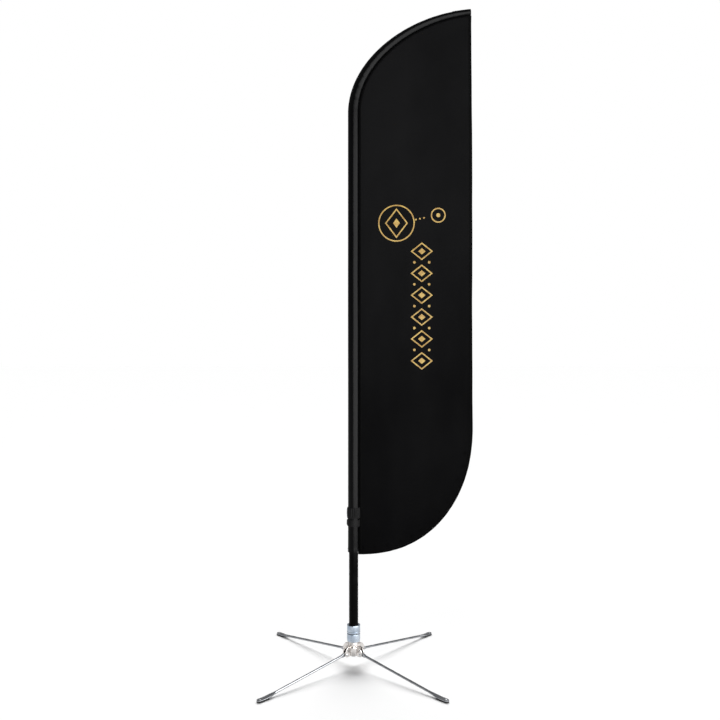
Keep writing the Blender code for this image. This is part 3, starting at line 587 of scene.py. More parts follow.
# %% The cut and its waves
FLAG_WIDTH = 0.4175
FLAG_TOP_WIDTH = 0.4125
CORNER_HEIGHT = 0.452
CORNER_START = 0.030
CORNER_FULLNESS = 2.15
FLAG_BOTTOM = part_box("bottom_hem")[0].z
CORNER_TOP = FLAG_BOTTOM + CORNER_HEIGHT
HEM_WIDTH = 10 * MM
CLOTH_THICK = 0.6 * MM
PUCKER_PITCH = 47 * MM
tube_low, tube_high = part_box("lower_pole_tube")
LOWER_RADIUS = (tube_high.x - tube_low.x) / 2
FOOT_START = LOWER_RADIUS + FIT  # below the sleeve, the cloth comes in almost to the pole
FOOT_TOP = sleeve_low.z + 3.6 * MM


def seam_x_at(height):
    """How far out the sleeve's side that faces the flag is at each height, from the sleeve's own line."""
    centre, heading, radius = on_pole(np.linspace(STRAIGHT, SLEEVE_RUN, 600))
    side = centre + (radius + FIT)[:, None] * right_of(heading)
    return np.interp(height, side[:, 1], side[:, 0])


def free_x_at(height):
    """The free edge: straight above the corner, and below it the oval x = a + (w-a)(1-u^n)^(1/n)."""
    u = np.clip((CORNER_TOP - height) / CORNER_HEIGHT, 0, 1)
    corner = CORNER_START + (FLAG_WIDTH - CORNER_START) * (1 - u**CORNER_FULLNESS) ** (1 / CORNER_FULLNESS)
    up = np.clip((height - CORNER_TOP) / (TIP[1] - CORNER_TOP), 0, 1)
    return np.where(height < CORNER_TOP, corner, FLAG_WIDTH + (FLAG_TOP_WIDTH - FLAG_WIDTH) * up)


def cloth_wave(x, z):
    """The cloth's distance from its plane: slow waves down the flag, faint diagonal pulls, and puckers at
    the hem."""
    held = np.clip((x - seam_x_at(z)) / 0.16, 0, 1)
    held = held * held * (3 - 2 * held)
    slow = 7.0 * np.sin(2 * np.pi * (z / 1.25 + 0.12) + 1.6 * x / FLAG_WIDTH)
    pull = 2.2 * np.sin(2 * np.pi * (z / 0.36 + x / 0.55)) * np.sin(np.pi * (z - FLAG_BOTTOM) / 1.9)
    crease = 0.8 * np.sin(2 * np.pi * (z / 0.17 - x / 0.31) + 0.8)
    return MM * held * (slow + pull + crease)


def cloth_pucker(edge_distance, along):
    """What the bottom hem's thread pulls up: a wave along the edge that dies away inwards, and 22 mm in
    from the edge a short pinch at each trough, exp(-((d - 22 mm) / 7 mm)^2) times a narrow bell along the
    edge."""
    fade = np.exp(-np.maximum(edge_distance, 0) / 0.014)
    uneven = 0.75 + 0.25 * np.sin(2 * np.pi * along / 0.31 + 1.0)
    phase = 2 * np.pi * along / PUCKER_PITCH + 0.7 * np.sin(2 * np.pi * along / 0.19)
    pinch = np.exp(-(((edge_distance - 22 * MM) / (7 * MM)) ** 2)) * np.exp(5 * (-np.sin(phase) - 1)) * uneven
    return 0.9 * MM * fade * uneven * np.sin(phase) + 2.2 * MM * pinch, pinch


print("cloth from", round(FLAG_BOTTOM, 3), "to", round(float(panel_high.z), 3), "m")

# %% [markdown]
# The grid's rows are level. Low down they follow the corner's arc, further up they are even, and at the top
# they follow the bend, so no cell is stretched. The columns run from the seam to the hem.


# %% Make the flag's cloth
def edge_line(steps=420):
    """The free edge from its top, down and round to the bottom of the seam, as (x, z), and the distance
    along it."""
    straight = np.linspace(panel_high.z, CORNER_TOP, steps // 2, endpoint=False)
    turn = np.linspace(0, np.pi / 2, steps // 2)
    round_down = CORNER_TOP - CORNER_HEIGHT * np.sin(turn) ** (2 / CORNER_FULLNESS)
    height = np.concatenate([straight, round_down])
    points = np.stack([free_x_at(height), height], axis=1)
    points = np.concatenate([points, [[FOOT_START, FLAG_BOTTOM]]])
    run = run_along(points)
    even = np.linspace(0, run[-1], steps)
    return points_at(even, run, points), even


edge_points, edge_run = edge_line()


def pucker_at(x, z):
    """The lift and the pinch at each point, from its distance to the nearest point of the free edge. The
    pinch is also the mask of the painted shade in the cloth's colour.
    """
    flat = np.stack([np.ravel(x), np.ravel(z)], axis=1)
    gap = np.linalg.norm(flat[:, None] - edge_points[None], axis=2)
    nearest = gap.argmin(axis=1)
    below = np.clip((CORNER_TOP - flat[:, 1]) / 0.05, 0, 1)
    lift, pinch = cloth_pucker(gap.min(axis=1), edge_run[nearest])
    return (lift * below).reshape(np.shape(x)), (pinch * below).reshape(np.shape(x))


def cloth_y(x, z):
    """The cloth's distance from its plane: its waves and its puckers together."""
    return cloth_wave(x, z) + pucker_at(x, z)[0]


turn = np.linspace(np.pi / 2, 0, 90, endpoint=False)
corner_rows = CORNER_TOP - CORNER_HEIGHT * np.sin(turn) ** (2 / CORNER_FULLNESS)
middle_rows = np.linspace(CORNER_TOP, BEND_START[1], 110, endpoint=False)
bend_rows = bend_line(np.linspace(0, 1, 90))[:, 1]
rows = np.unique(np.clip(np.concatenate([corner_rows, middle_rows, bend_rows]), None, panel_high.z))
across = np.linspace(0, 1, 70)[None, :]
left = np.where(rows < FOOT_TOP, FOOT_START, seam_x_at(rows))[:, None]
right = np.maximum(free_x_at(rows)[:, None] - 1.0 * MM, left + 0.5 * MM)
x = left + (right - left) * across
z = np.broadcast_to(rows[:, None], x.shape)
cloth_points = np.stack([POLE_X + x, cloth_y(x, z), z], axis=-1)
flag_cloth = make_piece(
    "flag_cloth", [skin(cloth_points)], flag_cloth_finish, "flag", ["flag_panel"], closed=False
)
spots = np.empty(3 * len(flag_cloth.data.vertices))
flag_cloth.data.vertices.foreach_get("co", spots)
spots = spots.reshape(-1, 3)
pinch = pucker_at(spots[:, 0] - POLE_X, spots[:, 2])[1]
# The pinch is kept on the cloth as the mask that the material paints shade with.
flag_cloth.data.attributes.new("pinch", "FLOAT", "POINT").data.foreach_set("value", 0.9 * pinch)
wall = flag_cloth.modifiers.new("thickness", "SOLIDIFY")
wall.thickness = CLOTH_THICK
wall.offset = 0
print("cloth grid", cloth_points.shape[:2], "waves", round(float(np.ptp(cloth_points[..., 1])) / MM, 1), "mm")

# %% [markdown]
# ## Hems
#
# The free edge is turned over twice and sewn, which makes a strip 10 mm wide and three layers thick. It is
# a flat loop carried along the edge: the front layer, the rolled outer fold and the back layer. The thread
# draws the cloth up a little at each stitch, which shows round the curve as puckers.


# %% Make the hems
def capped(rings):
    """The rings of a tube, and at each end one more ring shrunk to the middle, which closes it."""
    first, last = (np.broadcast_to(end.mean(axis=0), end.shape)[None] for end in (rings[0], rings[-1]))
    return np.concatenate([first, rings, last])


def hem(first, last, steps, thick):
    """A flat loop carried along the free edge between two distances: across the strip, and out from the
    cloth."""
    run = np.linspace(first, last, steps)
    point = points_at(run, edge_run, edge_points)
    inward = right_of(unit(np.gradient(point, axis=0)))
    turn = np.linspace(0, 2 * np.pi, 20, endpoint=False)
    reach = HEM_WIDTH / 2 * (1 - squared_off(np.cos(turn), 0.55))
    out = thick / 2 * squared_off(np.sin(turn), 0.75)
    x = point[:, None, 0] + reach * inward[:, None, 0]
    z = point[:, None, 1] + reach * inward[:, None, 1]
    x = np.maximum(x, np.where(z < FOOT_TOP, FOOT_START, SLEEVE_RADIUS + FIT))
    ripple = 0.12 * MM * np.sin(2 * np.pi * run / (9 * MM))[:, None] * np.sin(turn)
    strip = np.stack([POLE_X + x, cloth_y(x, z) + out + ripple, z], axis=-1)
    return skin(capped(strip), round_columns=True)


corner_run = float(np.interp(-CORNER_TOP, -edge_points[:, 1], edge_run))
right_hem = make_piece(
    "right_hem_fold", [hem(0, corner_run, 300, 2.2 * MM)], folded_painted_shade_finish, "flag", ["right_hem"]
)
bottom_hem = make_piece(
    "bottom_hem_fold",
    [hem(corner_run + 0.3 * MM, edge_run[-1], 330, 2.4 * MM)],
    folded_painted_shade_finish,
    "flag",
    ["bottom_hem"],
)
print("hems", round(corner_run, 3), "and", round(float(edge_run[-1]) - corner_run, 3), "m long")

# %% [markdown]
# ## The pole sleeve
#
# The sleeve is a strip of satin folded round the pole and sewn to the flag's edge, so it is a tube that
# follows the pole's line and gets thinner towards the tip. It is an outer and an inner surface in one
# closed grid. Long shallow pulls and a bottom edge that isn't quite level keep it from looking like pipe.


# %% Make the sleeve
def tube_points(run, angle, radius):
    """Points round the pole's line: centre + r (cos a * side + sin a * Y). The side faces the flag, so a =
    0 does too."""
    centre, heading, _ = on_pole(run)
    side = right_of(heading)
    x = POLE_X + centre[..., 0] + radius * np.cos(angle) * side[..., 0]
    z = centre[..., 1] + radius * np.cos(angle) * side[..., 1]
    y = np.broadcast_to(radius * np.sin(angle), x.shape)
    return np.stack([x, y, z], axis=-1)


def sleeve_ripple(run, angle):
    """Slack in the sleeve: pulls along it that drift round as they rise, short ones above its hem, and
    slanting creases across the bend, clear of the seam: a high power of sin(run / pitch + angle) times
    |sin(angle)|."""
    long_pulls = np.sin(3 * angle + 5.0 * run + 0.6 * np.sin(7.0 * run)) * np.sin(2.1 * run + 0.4)
    short_pulls = np.sin(8 * angle + 2.0) * np.exp(-run / 0.05)
    phase = 2 * np.pi * run / CREASE_PITCH + 1.4 * np.sin(angle) + 1.1 * np.sin(11.0 * run)
    in_bend = np.clip((run - STRAIGHT) / 0.06, 0, 1) * np.clip((SLEEVE_RUN - run) / 0.10, 0, 1)
    creases = -np.abs(np.sin(phase / 2)) ** 8 * np.abs(np.sin(angle)) * in_bend
    return MM * (0.16 * long_pulls + 0.09 * short_pulls + 0.7 * creases)


SLEEVE_WALL = 1.2 * MM
CREASE_PITCH = 43 * MM
round_about = np.linspace(0, 2 * np.pi, 64, endpoint=False)[None, :]
sleeve_top = SLEEVE_RUN - POCKET_LENGTH - FIT
straight_runs = np.concatenate([np.linspace(0, 0.03, 8, endpoint=False), np.linspace(0.03, STRAIGHT, 110)])
sleeve_runs = np.concatenate([straight_runs, np.linspace(STRAIGHT, sleeve_top, 170)[1:]])[:, None]
uneven = 1.2 * MM * np.sin(round_about + 0.6) + 0.5 * MM * np.sin(3 * round_about)
sleeve_runs = sleeve_runs + (uneven + 1.7 * MM) * np.clip(1 - sleeve_runs / 0.03, 0, 1)
_, _, sleeve_radius = on_pole(sleeve_runs)
hem_bulge = 0.35 * MM * np.clip((14 * MM - sleeve_runs) / (2 * MM), 0, 1)
outer_radius = sleeve_radius - 0.25 * MM + sleeve_ripple(sleeve_runs, round_about) + hem_bulge
outside = tube_points(sleeve_runs, round_about, outer_radius)
inside = tube_points(sleeve_runs, round_about, outer_radius - SLEEVE_WALL - hem_bulge)
sleeve = make_piece(
    "pole_sleeve_tube",
    [skin(np.concatenate([outside, inside[::-1]]), round_columns=True, round_rows=True)],
    sleeve_finish,
    "flag",
    ["pole_sleeve"],
)
print("sleeve", outside.shape[:2], "points outside, wall", SLEEVE_WALL / MM, "mm")

# %% [markdown]
# ### Tip pocket
#
# The last 60 mm of the sleeve is a closed pocket of doubled cloth, because the tip pushes hard against it.
# It is a cup: its outside, its flat end, and its inside again. Its mouth laps over the sleeve by 3 mm.

# %% Make the tip pocket
pocket_wall = 1.4 * MM
lap = 3 * MM
end_turn = np.linspace(0, np.pi / 2, 6)[:, None]
end_round = 1.2 * MM
out_runs = np.linspace(sleeve_top - lap, SLEEVE_RUN - end_round, 26)[:, None]
_, _, pocket_radius = on_pole(out_runs)
pocket_radius = pocket_radius + 0.5 * MM
rim_runs = SLEEVE_RUN - end_round + end_round * np.sin(end_turn)
rim_radius = pocket_radius[-1] - end_round + end_round * np.cos(end_turn)
in_runs = np.minimum(out_runs, SLEEVE_RUN - pocket_wall)[::-1]
cup_runs = np.concatenate([out_runs, rim_runs, [[SLEEVE_RUN], [SLEEVE_RUN - pocket_wall]], in_runs])
cup_radius = np.concatenate([pocket_radius, rim_radius, [[0], [0]], pocket_radius[::-1] - pocket_wall])
ruck = 0.12 * MM * np.sin(5 * round_about + 90 * cup_runs) * (cup_radius > 0.004)
pocket_points = tube_points(np.minimum(cup_runs, SLEEVE_RUN), round_about, cup_radius + ruck)
pocket = make_piece(
    "tip_pocket_cup",
    [skin(pocket_points, round_columns=True, round_rows=True)],
    sleeve_finish,
    "flag",
    ["tip_pocket"],
)
print("pocket end radius", round(float(pocket_radius[-1, 0]) / MM, 1), "mm")

# %% [markdown]
# ### The seam that joins sleeve and flag
#
# Beside the sleeve, its two raw edges and the flag lie together and are sewn flat. That makes a strip 7 mm
# wide that runs up the pole and round the bend. It is the same flat loop as a hem, carried along the
# sleeve's side.

# %% Make the seam strip
SEAM_WIDTH = 7 * MM
seam_thick = 1.6 * MM


def beside_sleeve(run, out):
    """Points (x, z) that lie a distance out from the sleeve's side, towards the flag."""
    centre, heading, radius = on_pole(run)
    return centre + (radius + out)[..., None] * right_of(heading)


seam_end = SLEEVE_RUN - 6 * MM
seam_runs = [np.linspace(2 * MM, STRAIGHT, 160), np.linspace(STRAIGHT, seam_end, 110)[1:]]
seam_runs = np.concatenate(seam_runs)[:, None]
turn = np.linspace(0, 2 * np.pi, 16, endpoint=False)[None, :]
out = SEAM_WIDTH / 2 * (1 - squared_off(np.cos(turn), 0.6)) - 0.4 * MM
proud = seam_thick / 2 * squared_off(np.sin(turn), 0.7)
flat_points = beside_sleeve(np.broadcast_to(seam_runs, (len(seam_runs), 16)), out)
seam_y = cloth_y(flat_points[..., 0], flat_points[..., 1]) + proud
seam_points = np.stack([POLE_X + flat_points[..., 0], seam_y, flat_points[..., 1]], axis=-1)
# The seam strip beside the sleeve takes the darker copy of the cloth, which is painted shade.
seam = make_piece(
    "sleeve_seam_strip",
    [skin(capped(seam_points), round_columns=True)],
    folded_painted_shade_finish,
    "flag",
)
print("seam strip", round(float(seam_end), 3), "m long")

# %% [markdown]
# ## Bands at the sleeve's foot
#
# An elastic cuff grips the sleeve to the pole and gathers it, and a strap below it ties the flag down. Each
# goes round the sleeve from one face of the flag to the other. The cuff's gathers are a rectified sine
# round the band, with an uneven pitch, that flattens out at the band's two sewn edges.


# %% Make the bands
def band(low, high, inner, thick, gather, folds, first, last, tilt=0.0):
    """A band round the pole from one angle to another: an outside with gathers in it, joined to a plain
    inside."""
    rows = 18
    angle = np.linspace(first, last, 260)[None, :]
    rise = np.linspace(0, 1, rows)[:, None]
    height = low + (high - low) * rise + tilt * np.cos(angle - np.pi)
    edge = np.clip(4 * rise * (1 - rise), 0, 1) ** 0.5
    drift = folds * angle + 1.3 * np.sin(2.3 * angle) + 0.7 * np.sin(5.1 * angle + 1.0) + 1.1 * (rise - 0.5)
    fold = np.abs(np.sin(drift / 2)) ** 0.7
    outer = inner + thick * (0.55 + 0.45 * edge) + gather * edge * (fold - 0.4)
    radius = np.concatenate([outer, np.full(outer.shape, inner)[::-1]])
    height = np.concatenate([height, height[::-1]])
    rim = np.stack([radius * np.cos(angle), radius * np.sin(angle), height], axis=-1)
    ends = [np.broadcast_to(rim[:, i].mean(axis=0), rim[:, i].shape)[:, None] for i in (0, -1)]
    closed = np.concatenate([ends[0], rim, ends[1]], axis=1)
    return skin(closed + [POLE_X, 0, 0], round_rows=True)


cuff_low, cuff_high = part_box("elastic_cuff")
strap_low, strap_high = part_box("cinch_strap")
band_inner = SLEEVE_RADIUS + FIT
band_thick = cuff_high.y - band_inner
CUFF_GATHER = 2.4 * MM
CUFF_FOLDS = 17
STRAP_TILT = 0.8 * MM
round_start, round_end = 0.08, 2 * np.pi - 0.08  # the bands stop short of the flag on both of its faces
cuff_size = (cuff_low.z, cuff_high.z, band_inner, band_thick)
strap_size = (strap_low.z, strap_high.z, band_inner, band_thick)
cuff = make_piece(
    "elastic_cuff_gathered",
    [band(*cuff_size, CUFF_GATHER, CUFF_FOLDS, round_start, round_end)],
    elastic_finish,
    "flag",
    ["elastic_cuff"],
)
strap = make_piece(
    "cinch_strap_band",
    [band(*strap_size, 0.0, 1, round_start, round_end, STRAP_TILT)],
    webbing_finish,
    "flag",
    ["cinch_strap"],
)
tab_low, tab_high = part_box("strap_tab")
tab_size = (tab_low.z, tab_high.z, band_inner + band_thick + FIT, 1.6 * MM)
tab = make_piece(
    "strap_tab_fold",
    [band(*tab_size, 0.0, 1, 2.6, 4.05, 1.5 * MM)],
    webbing_finish,
    "flag",
    ["strap_tab"],
)
print("cuff and strap round a sleeve", round(2 * SLEEVE_RADIUS / MM), "mm across")

# %% [markdown]
# ## Printed ornament
#
# The flag carries a light line ornament in gold: rings, lozenges and dots. Each figure is the space between
# an outer and an inner outline with the same number of points, so one function makes them all. It asks the
# cloth how far it is from its plane at every point, and lays a film of ink 0.15 mm thick on it. The same
# film, duller, shows on the back, where the ink has soaked through.

# %% Draw the ornament
LINE = 4.4 * MM
STEPS = 64
round_turn = np.linspace(0, 2 * np.pi, STEPS, endpoint=False)
circle = np.stack([np.cos(round_turn), np.sin(round_turn)], axis=1)
lozenge = circle / np.abs(circle).sum(axis=1)[:, None]


def figure(shape, centre, half, line=None):
    """Outer and inner outlines of a shape with half-widths half, a line's width apart, or filled when line
    is None."""
    half = np.asarray(half, float)
    outer = centre + shape * half
    slant = 1.0 if shape is circle else np.hypot(*half) / half[::-1]
    inner = centre + shape * (half - slant * line) if line else np.broadcast_to(centre, outer.shape)
    return outer, inner


figures = [
    figure(circle, (0.150, 1.545), (0.064, 0.064), LINE),
    figure(lozenge, (0.150, 1.545), (0.040, 0.052), LINE),
    figure(lozenge, (0.150, 1.545), (0.012, 0.016)),
    figure(circle, (0.296, 1.572), (0.026, 0.026), LINE),
    figure(circle, (0.296, 1.572), (0.007, 0.007)),
]
for step in (-1, 0, 1):
    figures.append(figure(circle, (0.232 + step * 0.014, 1.560 + step * 0.003), (0.003, 0.003)))
for height in np.linspace(1.447, 1.063, 6):
    figures.append(figure(lozenge, (0.239, height), (0.039, 0.031), LINE))
    figures.append(figure(lozenge, (0.239, height), (0.013, 0.011)))
for height in np.linspace(1.447, 1.063, 6)[:-1] - 0.0384:
    figures += [figure(circle, (0.239 + side * 0.026, height), (0.0045, 0.0045)) for side in (-1, 1)]


def ink(outlines, face, lift, thick=0.15 * MM):
    """A closed film of ink between two outlines, on one face of the cloth: face is -1 in front and 1
    behind."""
    outer, inner = outlines
    between = outer + (inner - outer) / 2
    columns = [outer, outer, between, inner, inner, between]
    heights = [lift, lift + thick, lift + thick, lift + thick, lift, lift]
    flat = np.stack(columns, axis=1)
    y = cloth_y(flat[..., 0], flat[..., 1]) + face * (CLOTH_THICK / 2 + np.array(heights)[None, :])
    points = np.stack([POLE_X + flat[..., 0], y, flat[..., 1]], axis=-1)
    return skin(points, round_columns=True, round_rows=True)


front_print = make_piece(
    "gold_print_front", [ink(pair, -1, 0.1 * MM) for pair in figures], gold_finish, "flag"
)
back_print = make_piece(
    "gold_print_back", [ink(pair, 1, 0.1 * MM) for pair in figures], gold_back_finish, "flag"
)
print(len(figures), "printed figures, line", LINE / MM, "mm")

# %% [markdown]
# ## Stitching
#
# A sewn line is hundreds of separate stitches. One stitch is a small spindle: a circle carried along a
# short arc that dips into the cloth at both ends. All the stitches of a row are worked out in one array,
# and a stitch has only a few dozen faces.


# %% Sew the rows
def stitches(points, ways, normals, length, thick):
    """Spindles along ways, standing on the cloth by normals: radius r sin(pi t)^0.5, height r sin(pi t) at
    share t."""
    t = np.linspace(0, 1, 6)
    turn = np.linspace(0, 2 * np.pi, 6, endpoint=False)
    across = np.cross(ways, normals)
    radius = thick / 2 * (0.25 + 0.75 * np.sin(np.pi * t) ** 0.5)
    centre = points[:, None] + ways[:, None] * ((t - 0.5) * length)[None, :, None]
    centre = centre + normals[:, None] * (thick * 0.45 * np.sin(np.pi * t))[None, :, None]
    rings = centre[:, :, None] + radius[None, :, None, None] * (
        np.cos(turn)[None, None, :, None] * across[:, None, None]
        + np.sin(turn)[None, None, :, None] * normals[:, None, None]
    )
    caps = [np.broadcast_to(centre[:, i, None, None], rings[:, :1].shape) for i in (0, -1)]
    rings = np.concatenate([caps[0], rings, caps[1]], axis=1)
    rings = np.concatenate([rings, rings[:, :, :1]], axis=2)
    count, rows, columns = rings.shape[:3]
    index = np.arange(count * rows * columns).reshape(count, rows, columns)
    corners = [index[:, :-1, :-1], index[:, :-1, 1:], index[:, 1:, 1:], index[:, 1:, :-1]]
    faces = np.stack(corners, axis=-1).reshape(-1, 4)
    flat_t = np.broadcast_to(np.linspace(0, length, rows)[None, :, None], (count, rows, columns))
    flat_a = np.broadcast_to(np.linspace(0, 3 * thick, columns)[None, None, :], (count, rows, columns))
    return rings.reshape(-1, 3), faces, np.stack([flat_t, flat_a], axis=-1).reshape(-1, 2)


STITCH = 5 * MM  # drawn about half as long again as a real 3.2 mm stitch, so that it shows
STITCH_PITCH = 6.4 * MM
THREAD = 0.7 * MM


def row_on_cloth(line_points, face, proud):
    """A row of stitches along a line (x, z) on one face of the cloth."""
    run = run_along(line_points)
    at = np.arange(STITCH_PITCH, run[-1] - STITCH_PITCH, STITCH_PITCH)
    ends = []
    for offset in (-STITCH / 2, STITCH / 2):
        flat = points_at(at + offset, run, line_points)
        y = cloth_y(flat[:, 0], flat[:, 1]) + face * proud
        ends.append(np.stack([POLE_X + flat[:, 0], y, flat[:, 1]], axis=1))
    way = unit(ends[1] - ends[0])
    normal = np.broadcast_to([0.0, face, 0.0], way.shape)
    return stitches((ends[0] + ends[1]) / 2, way, normal, STITCH, THREAD)


edge_inward = right_of(unit(np.gradient(edge_points, axis=0)))
hem_line = (edge_points + 8.0 * MM * edge_inward)[3:-16]
seam_line = beside_sleeve(np.linspace(6 * MM, seam_end - 6 * MM, 900), np.full(900, 5.8 * MM))
sewn = [row_on_cloth(hem_line, face, 1.05 * MM) for face in (-1, 1)]
sewn += [row_on_cloth(seam_line, face, 1.1 * MM) for face in (-1, 1)]
hem_rows = make_piece("flag_stitching", sewn, thread_finish, "flag")


def row_round_pole(run, radius, first, last):
    """A row of stitches round the sleeve at one distance along it."""
    at = np.arange(first, last, STITCH_PITCH / radius)
    where = np.full(len(at), run)
    points = tube_points(where, at, np.full(len(at), radius))
    ahead = tube_points(where, at + 0.01, np.full(len(at), radius))
    centre = tube_points(where, at, np.zeros(len(at)))
    return stitches(points, unit(ahead - points), unit(points - centre), STITCH, THREAD)


sewn_round = [row_round_pole(11 * MM, SLEEVE_RADIUS + 0.05 * MM, 0.25, 6.05)]
for height in (cuff_low.z + 1.5 * MM, cuff_high.z - 1.5 * MM, strap_low.z + 2 * MM, strap_high.z - 2 * MM):
    sewn_round.append(row_round_pole(height - sleeve_low.z, band_inner + band_thick * 0.8, 0.25, 6.05))
for back in (8 * MM, 52 * MM):
    radius = float(on_pole(np.array([SLEEVE_RUN - back]))[2][0]) + 0.5 * MM
    sewn_round.append(row_round_pole(SLEEVE_RUN - back, radius, 0.5, 5.8))
band_rows = make_piece("sleeve_stitching", sewn_round, thread_finish, "flag")
counts = [len(rows_made.data.polygons) // 42 for rows_made in (hem_rows, band_rows)]
print(counts[0], "stitches on the flag,", counts[1], "on the sleeve")

# %% [markdown]
# ## The lower pole and its socket
#
# The lower pole is a drawn tube, seen between the sleeve and the socket. The frame's tube has few sides,
# because motion doesn't need more, so it gets a finer one of the same size. The socket, the bearing
# housing, the seal and the neck are all turned on a lathe, so each is a profile of radius and height with
# its edges rounded.

# %% Turn the pole and the socket
def ring(corners):
    """A turned ring from (radius, height, edge radius) corners that run all the way round its section."""
    corners = np.array(corners)
    profile = rounded(corners[:, :2], corners[:, 2])
    return turned(np.concatenate([profile, profile[:1]]))


TUBE_WALL = 2 * MM
TUBE_EDGE = 0.4 * MM
tube = ring(
    [
        (LOWER_RADIUS - TUBE_WALL, tube_low.z, TUBE_EDGE),
        (LOWER_RADIUS, tube_low.z, TUBE_EDGE),
        (LOWER_RADIUS, tube_high.z, TUBE_EDGE),
        (LOWER_RADIUS - TUBE_WALL, tube_high.z, TUBE_EDGE),
    ]
)
make_piece("lower_pole_tube_drawn", [tube], tube_finish, "lower_pole", ["lower_pole_tube"])

housing_low, housing_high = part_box("bearing_housing")
seal_low, seal_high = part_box("dust_seal")
nut_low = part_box("shaft_nut")[0]
SOCKET_RADIUS = (housing_high.x - housing_low.x) / 2
SOCKET_BOTTOM = seal_high.z + FIT
SOCKET_TOP = SOCKET_BOTTOM + 28 * MM
CUP_FLOOR = tube_low.z - FIT
CUP_RADIUS = LOWER_RADIUS + 0.5 * MM
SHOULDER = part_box("upper_bearing_inner_ring")[1].z + FIT
socket_corners = np.array([
    (0, socket_low.z, 0),
    (5.0 * MM, socket_low.z, 0.5 * MM),
    (5.0 * MM, SHOULDER, 0),
    (7.0 * MM, SHOULDER, 0.3 * MM),
    (7.0 * MM, SOCKET_BOTTOM, 0),
    (SOCKET_RADIUS, SOCKET_BOTTOM, 0.8 * MM),
    (SOCKET_RADIUS, SOCKET_BOTTOM + 5.2 * MM, 0.25 * MM),
    (SOCKET_RADIUS - 0.8 * MM, SOCKET_BOTTOM + 5.6 * MM, 0.25 * MM),
    (SOCKET_RADIUS - 0.8 * MM, SOCKET_BOTTOM + 6.8 * MM, 0.25 * MM),
    (SOCKET_RADIUS, SOCKET_BOTTOM + 7.2 * MM, 0.25 * MM),
    (SOCKET_RADIUS, SOCKET_TOP, 1.4 * MM),
    (CUP_RADIUS, SOCKET_TOP, 1.2 * MM),
    (CUP_RADIUS, CUP_FLOOR, 0.4 * MM),
    (10 * MM, CUP_FLOOR, 0.4 * MM),
    (10 * MM, socket_high.z - 5 * MM, 1.0 * MM),
    (5 * MM, socket_high.z, 1.0 * MM),
    (0, socket_high.z, 0),
])
make_piece(
    "pole_socket_turned",
    [turned(rounded(socket_corners[:, :2], socket_corners[:, 2]))],
    zinc_finish,
    "rotor",
    ["pole_socket"],
)
bore = 13.3 * MM
housing = ring(
    [
        (bore, housing_low.z, 0.4 * MM),
        (SOCKET_RADIUS - 0.4 * MM, housing_low.z, 1.2 * MM),
        (SOCKET_RADIUS - 0.4 * MM, housing_low.z + 7 * MM, 0.3 * MM),
        (SOCKET_RADIUS, housing_low.z + 7.6 * MM, 0.3 * MM),
        (SOCKET_RADIUS, housing_high.z, 0.9 * MM),
        (bore, housing_high.z, 0.4 * MM),
    ]
)
make_piece("bearing_housing_turned", [housing], zinc_finish, "hub", ["bearing_housing"])
seal_radius = (seal_high.x - seal_low.x) / 2
seal = ring(
    [
        (15 * MM, seal_low.z, 0.2 * MM),
        (seal_radius - 0.6 * MM, seal_low.z, 0.4 * MM),
        (seal_radius, seal_low.z + 0.8 * MM, 0.4 * MM),
        (seal_radius - 0.6 * MM, seal_high.z, 0.4 * MM),
        (15 * MM, seal_high.z, 0.2 * MM),
    ]
)
make_piece("dust_seal_ring", [seal], rubber_finish, "rotor", ["dust_seal"])
print("socket", round(2 * SOCKET_RADIUS / MM, 1), "mm across, tube", round(2 * LOWER_RADIUS / MM, 1), "mm")

# %% [markdown]
# ## The hub
#
# The hub is a plated casting: a round block with four pairs of ears, each pair a fork that one leg folds
# in. The block and the neck are turned. An ear is a plate with rounded rims, made flat and then stood up in
# its fork.

# %% Make the neck and the hub block
neck_low, neck_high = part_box("neck_collar")
hub_low, hub_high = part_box("hub_body")
hinge = joints["front_left_leg_fold"]["pos_m"]
HINGE_RADIUS = float(np.hypot(hinge[0] - POLE_X, hinge[1]))
HINGE_HEIGHT = float(hinge[2])
NECK_RADIUS = (neck_high.x - neck_low.x) / 2
HUB_RADIUS = 22.5 * MM
HUB_TOP = neck_low.z - FIT
neck = ring(
    [
        (5.3 * MM, neck_low.z, 0),
        (NECK_RADIUS, neck_low.z, 0.6 * MM),
        (NECK_RADIUS, neck_low.z + 11.5 * MM, 0.5 * MM),
        (NECK_RADIUS - 0.9 * MM, neck_low.z + 12.4 * MM, 0.5 * MM),
        (NECK_RADIUS - 0.9 * MM, housing_low.z - 2.2 * MM, 0.5 * MM),
        (NECK_RADIUS, housing_low.z - 1.3 * MM, 0.4 * MM),
        (NECK_RADIUS, housing_low.z - 0.3 * MM, 0.2 * MM),
        (13 * MM, housing_low.z - 0.3 * MM, 0),
        (13 * MM, neck_high.z, 0.3 * MM),
        (10.8 * MM, neck_high.z, 0.3 * MM),
        (10.8 * MM, nut_low.z - 1.0 * MM, 0.3 * MM),
        (5.3 * MM, nut_low.z - 1.0 * MM, 0),
    ]
)
make_piece("neck_collar_turned", [neck], nickel_finish, "hub", ["neck_collar"])
block = ring(
    [
        (5.3 * MM, hub_low.z, 0.3 * MM),
        (HUB_RADIUS, hub_low.z, 1.8 * MM),
        (HUB_RADIUS, HUB_TOP, 2.0 * MM),
        (5.3 * MM, HUB_TOP, 0.3 * MM),
    ]
)
hub_skins = [block]
EAR_REACH = 46 * MM
EAR_THICK = 4 * MM
EAR_MIDDLE = 5.3 * MM
ear_low = hub_low.z + 0.5 * MM
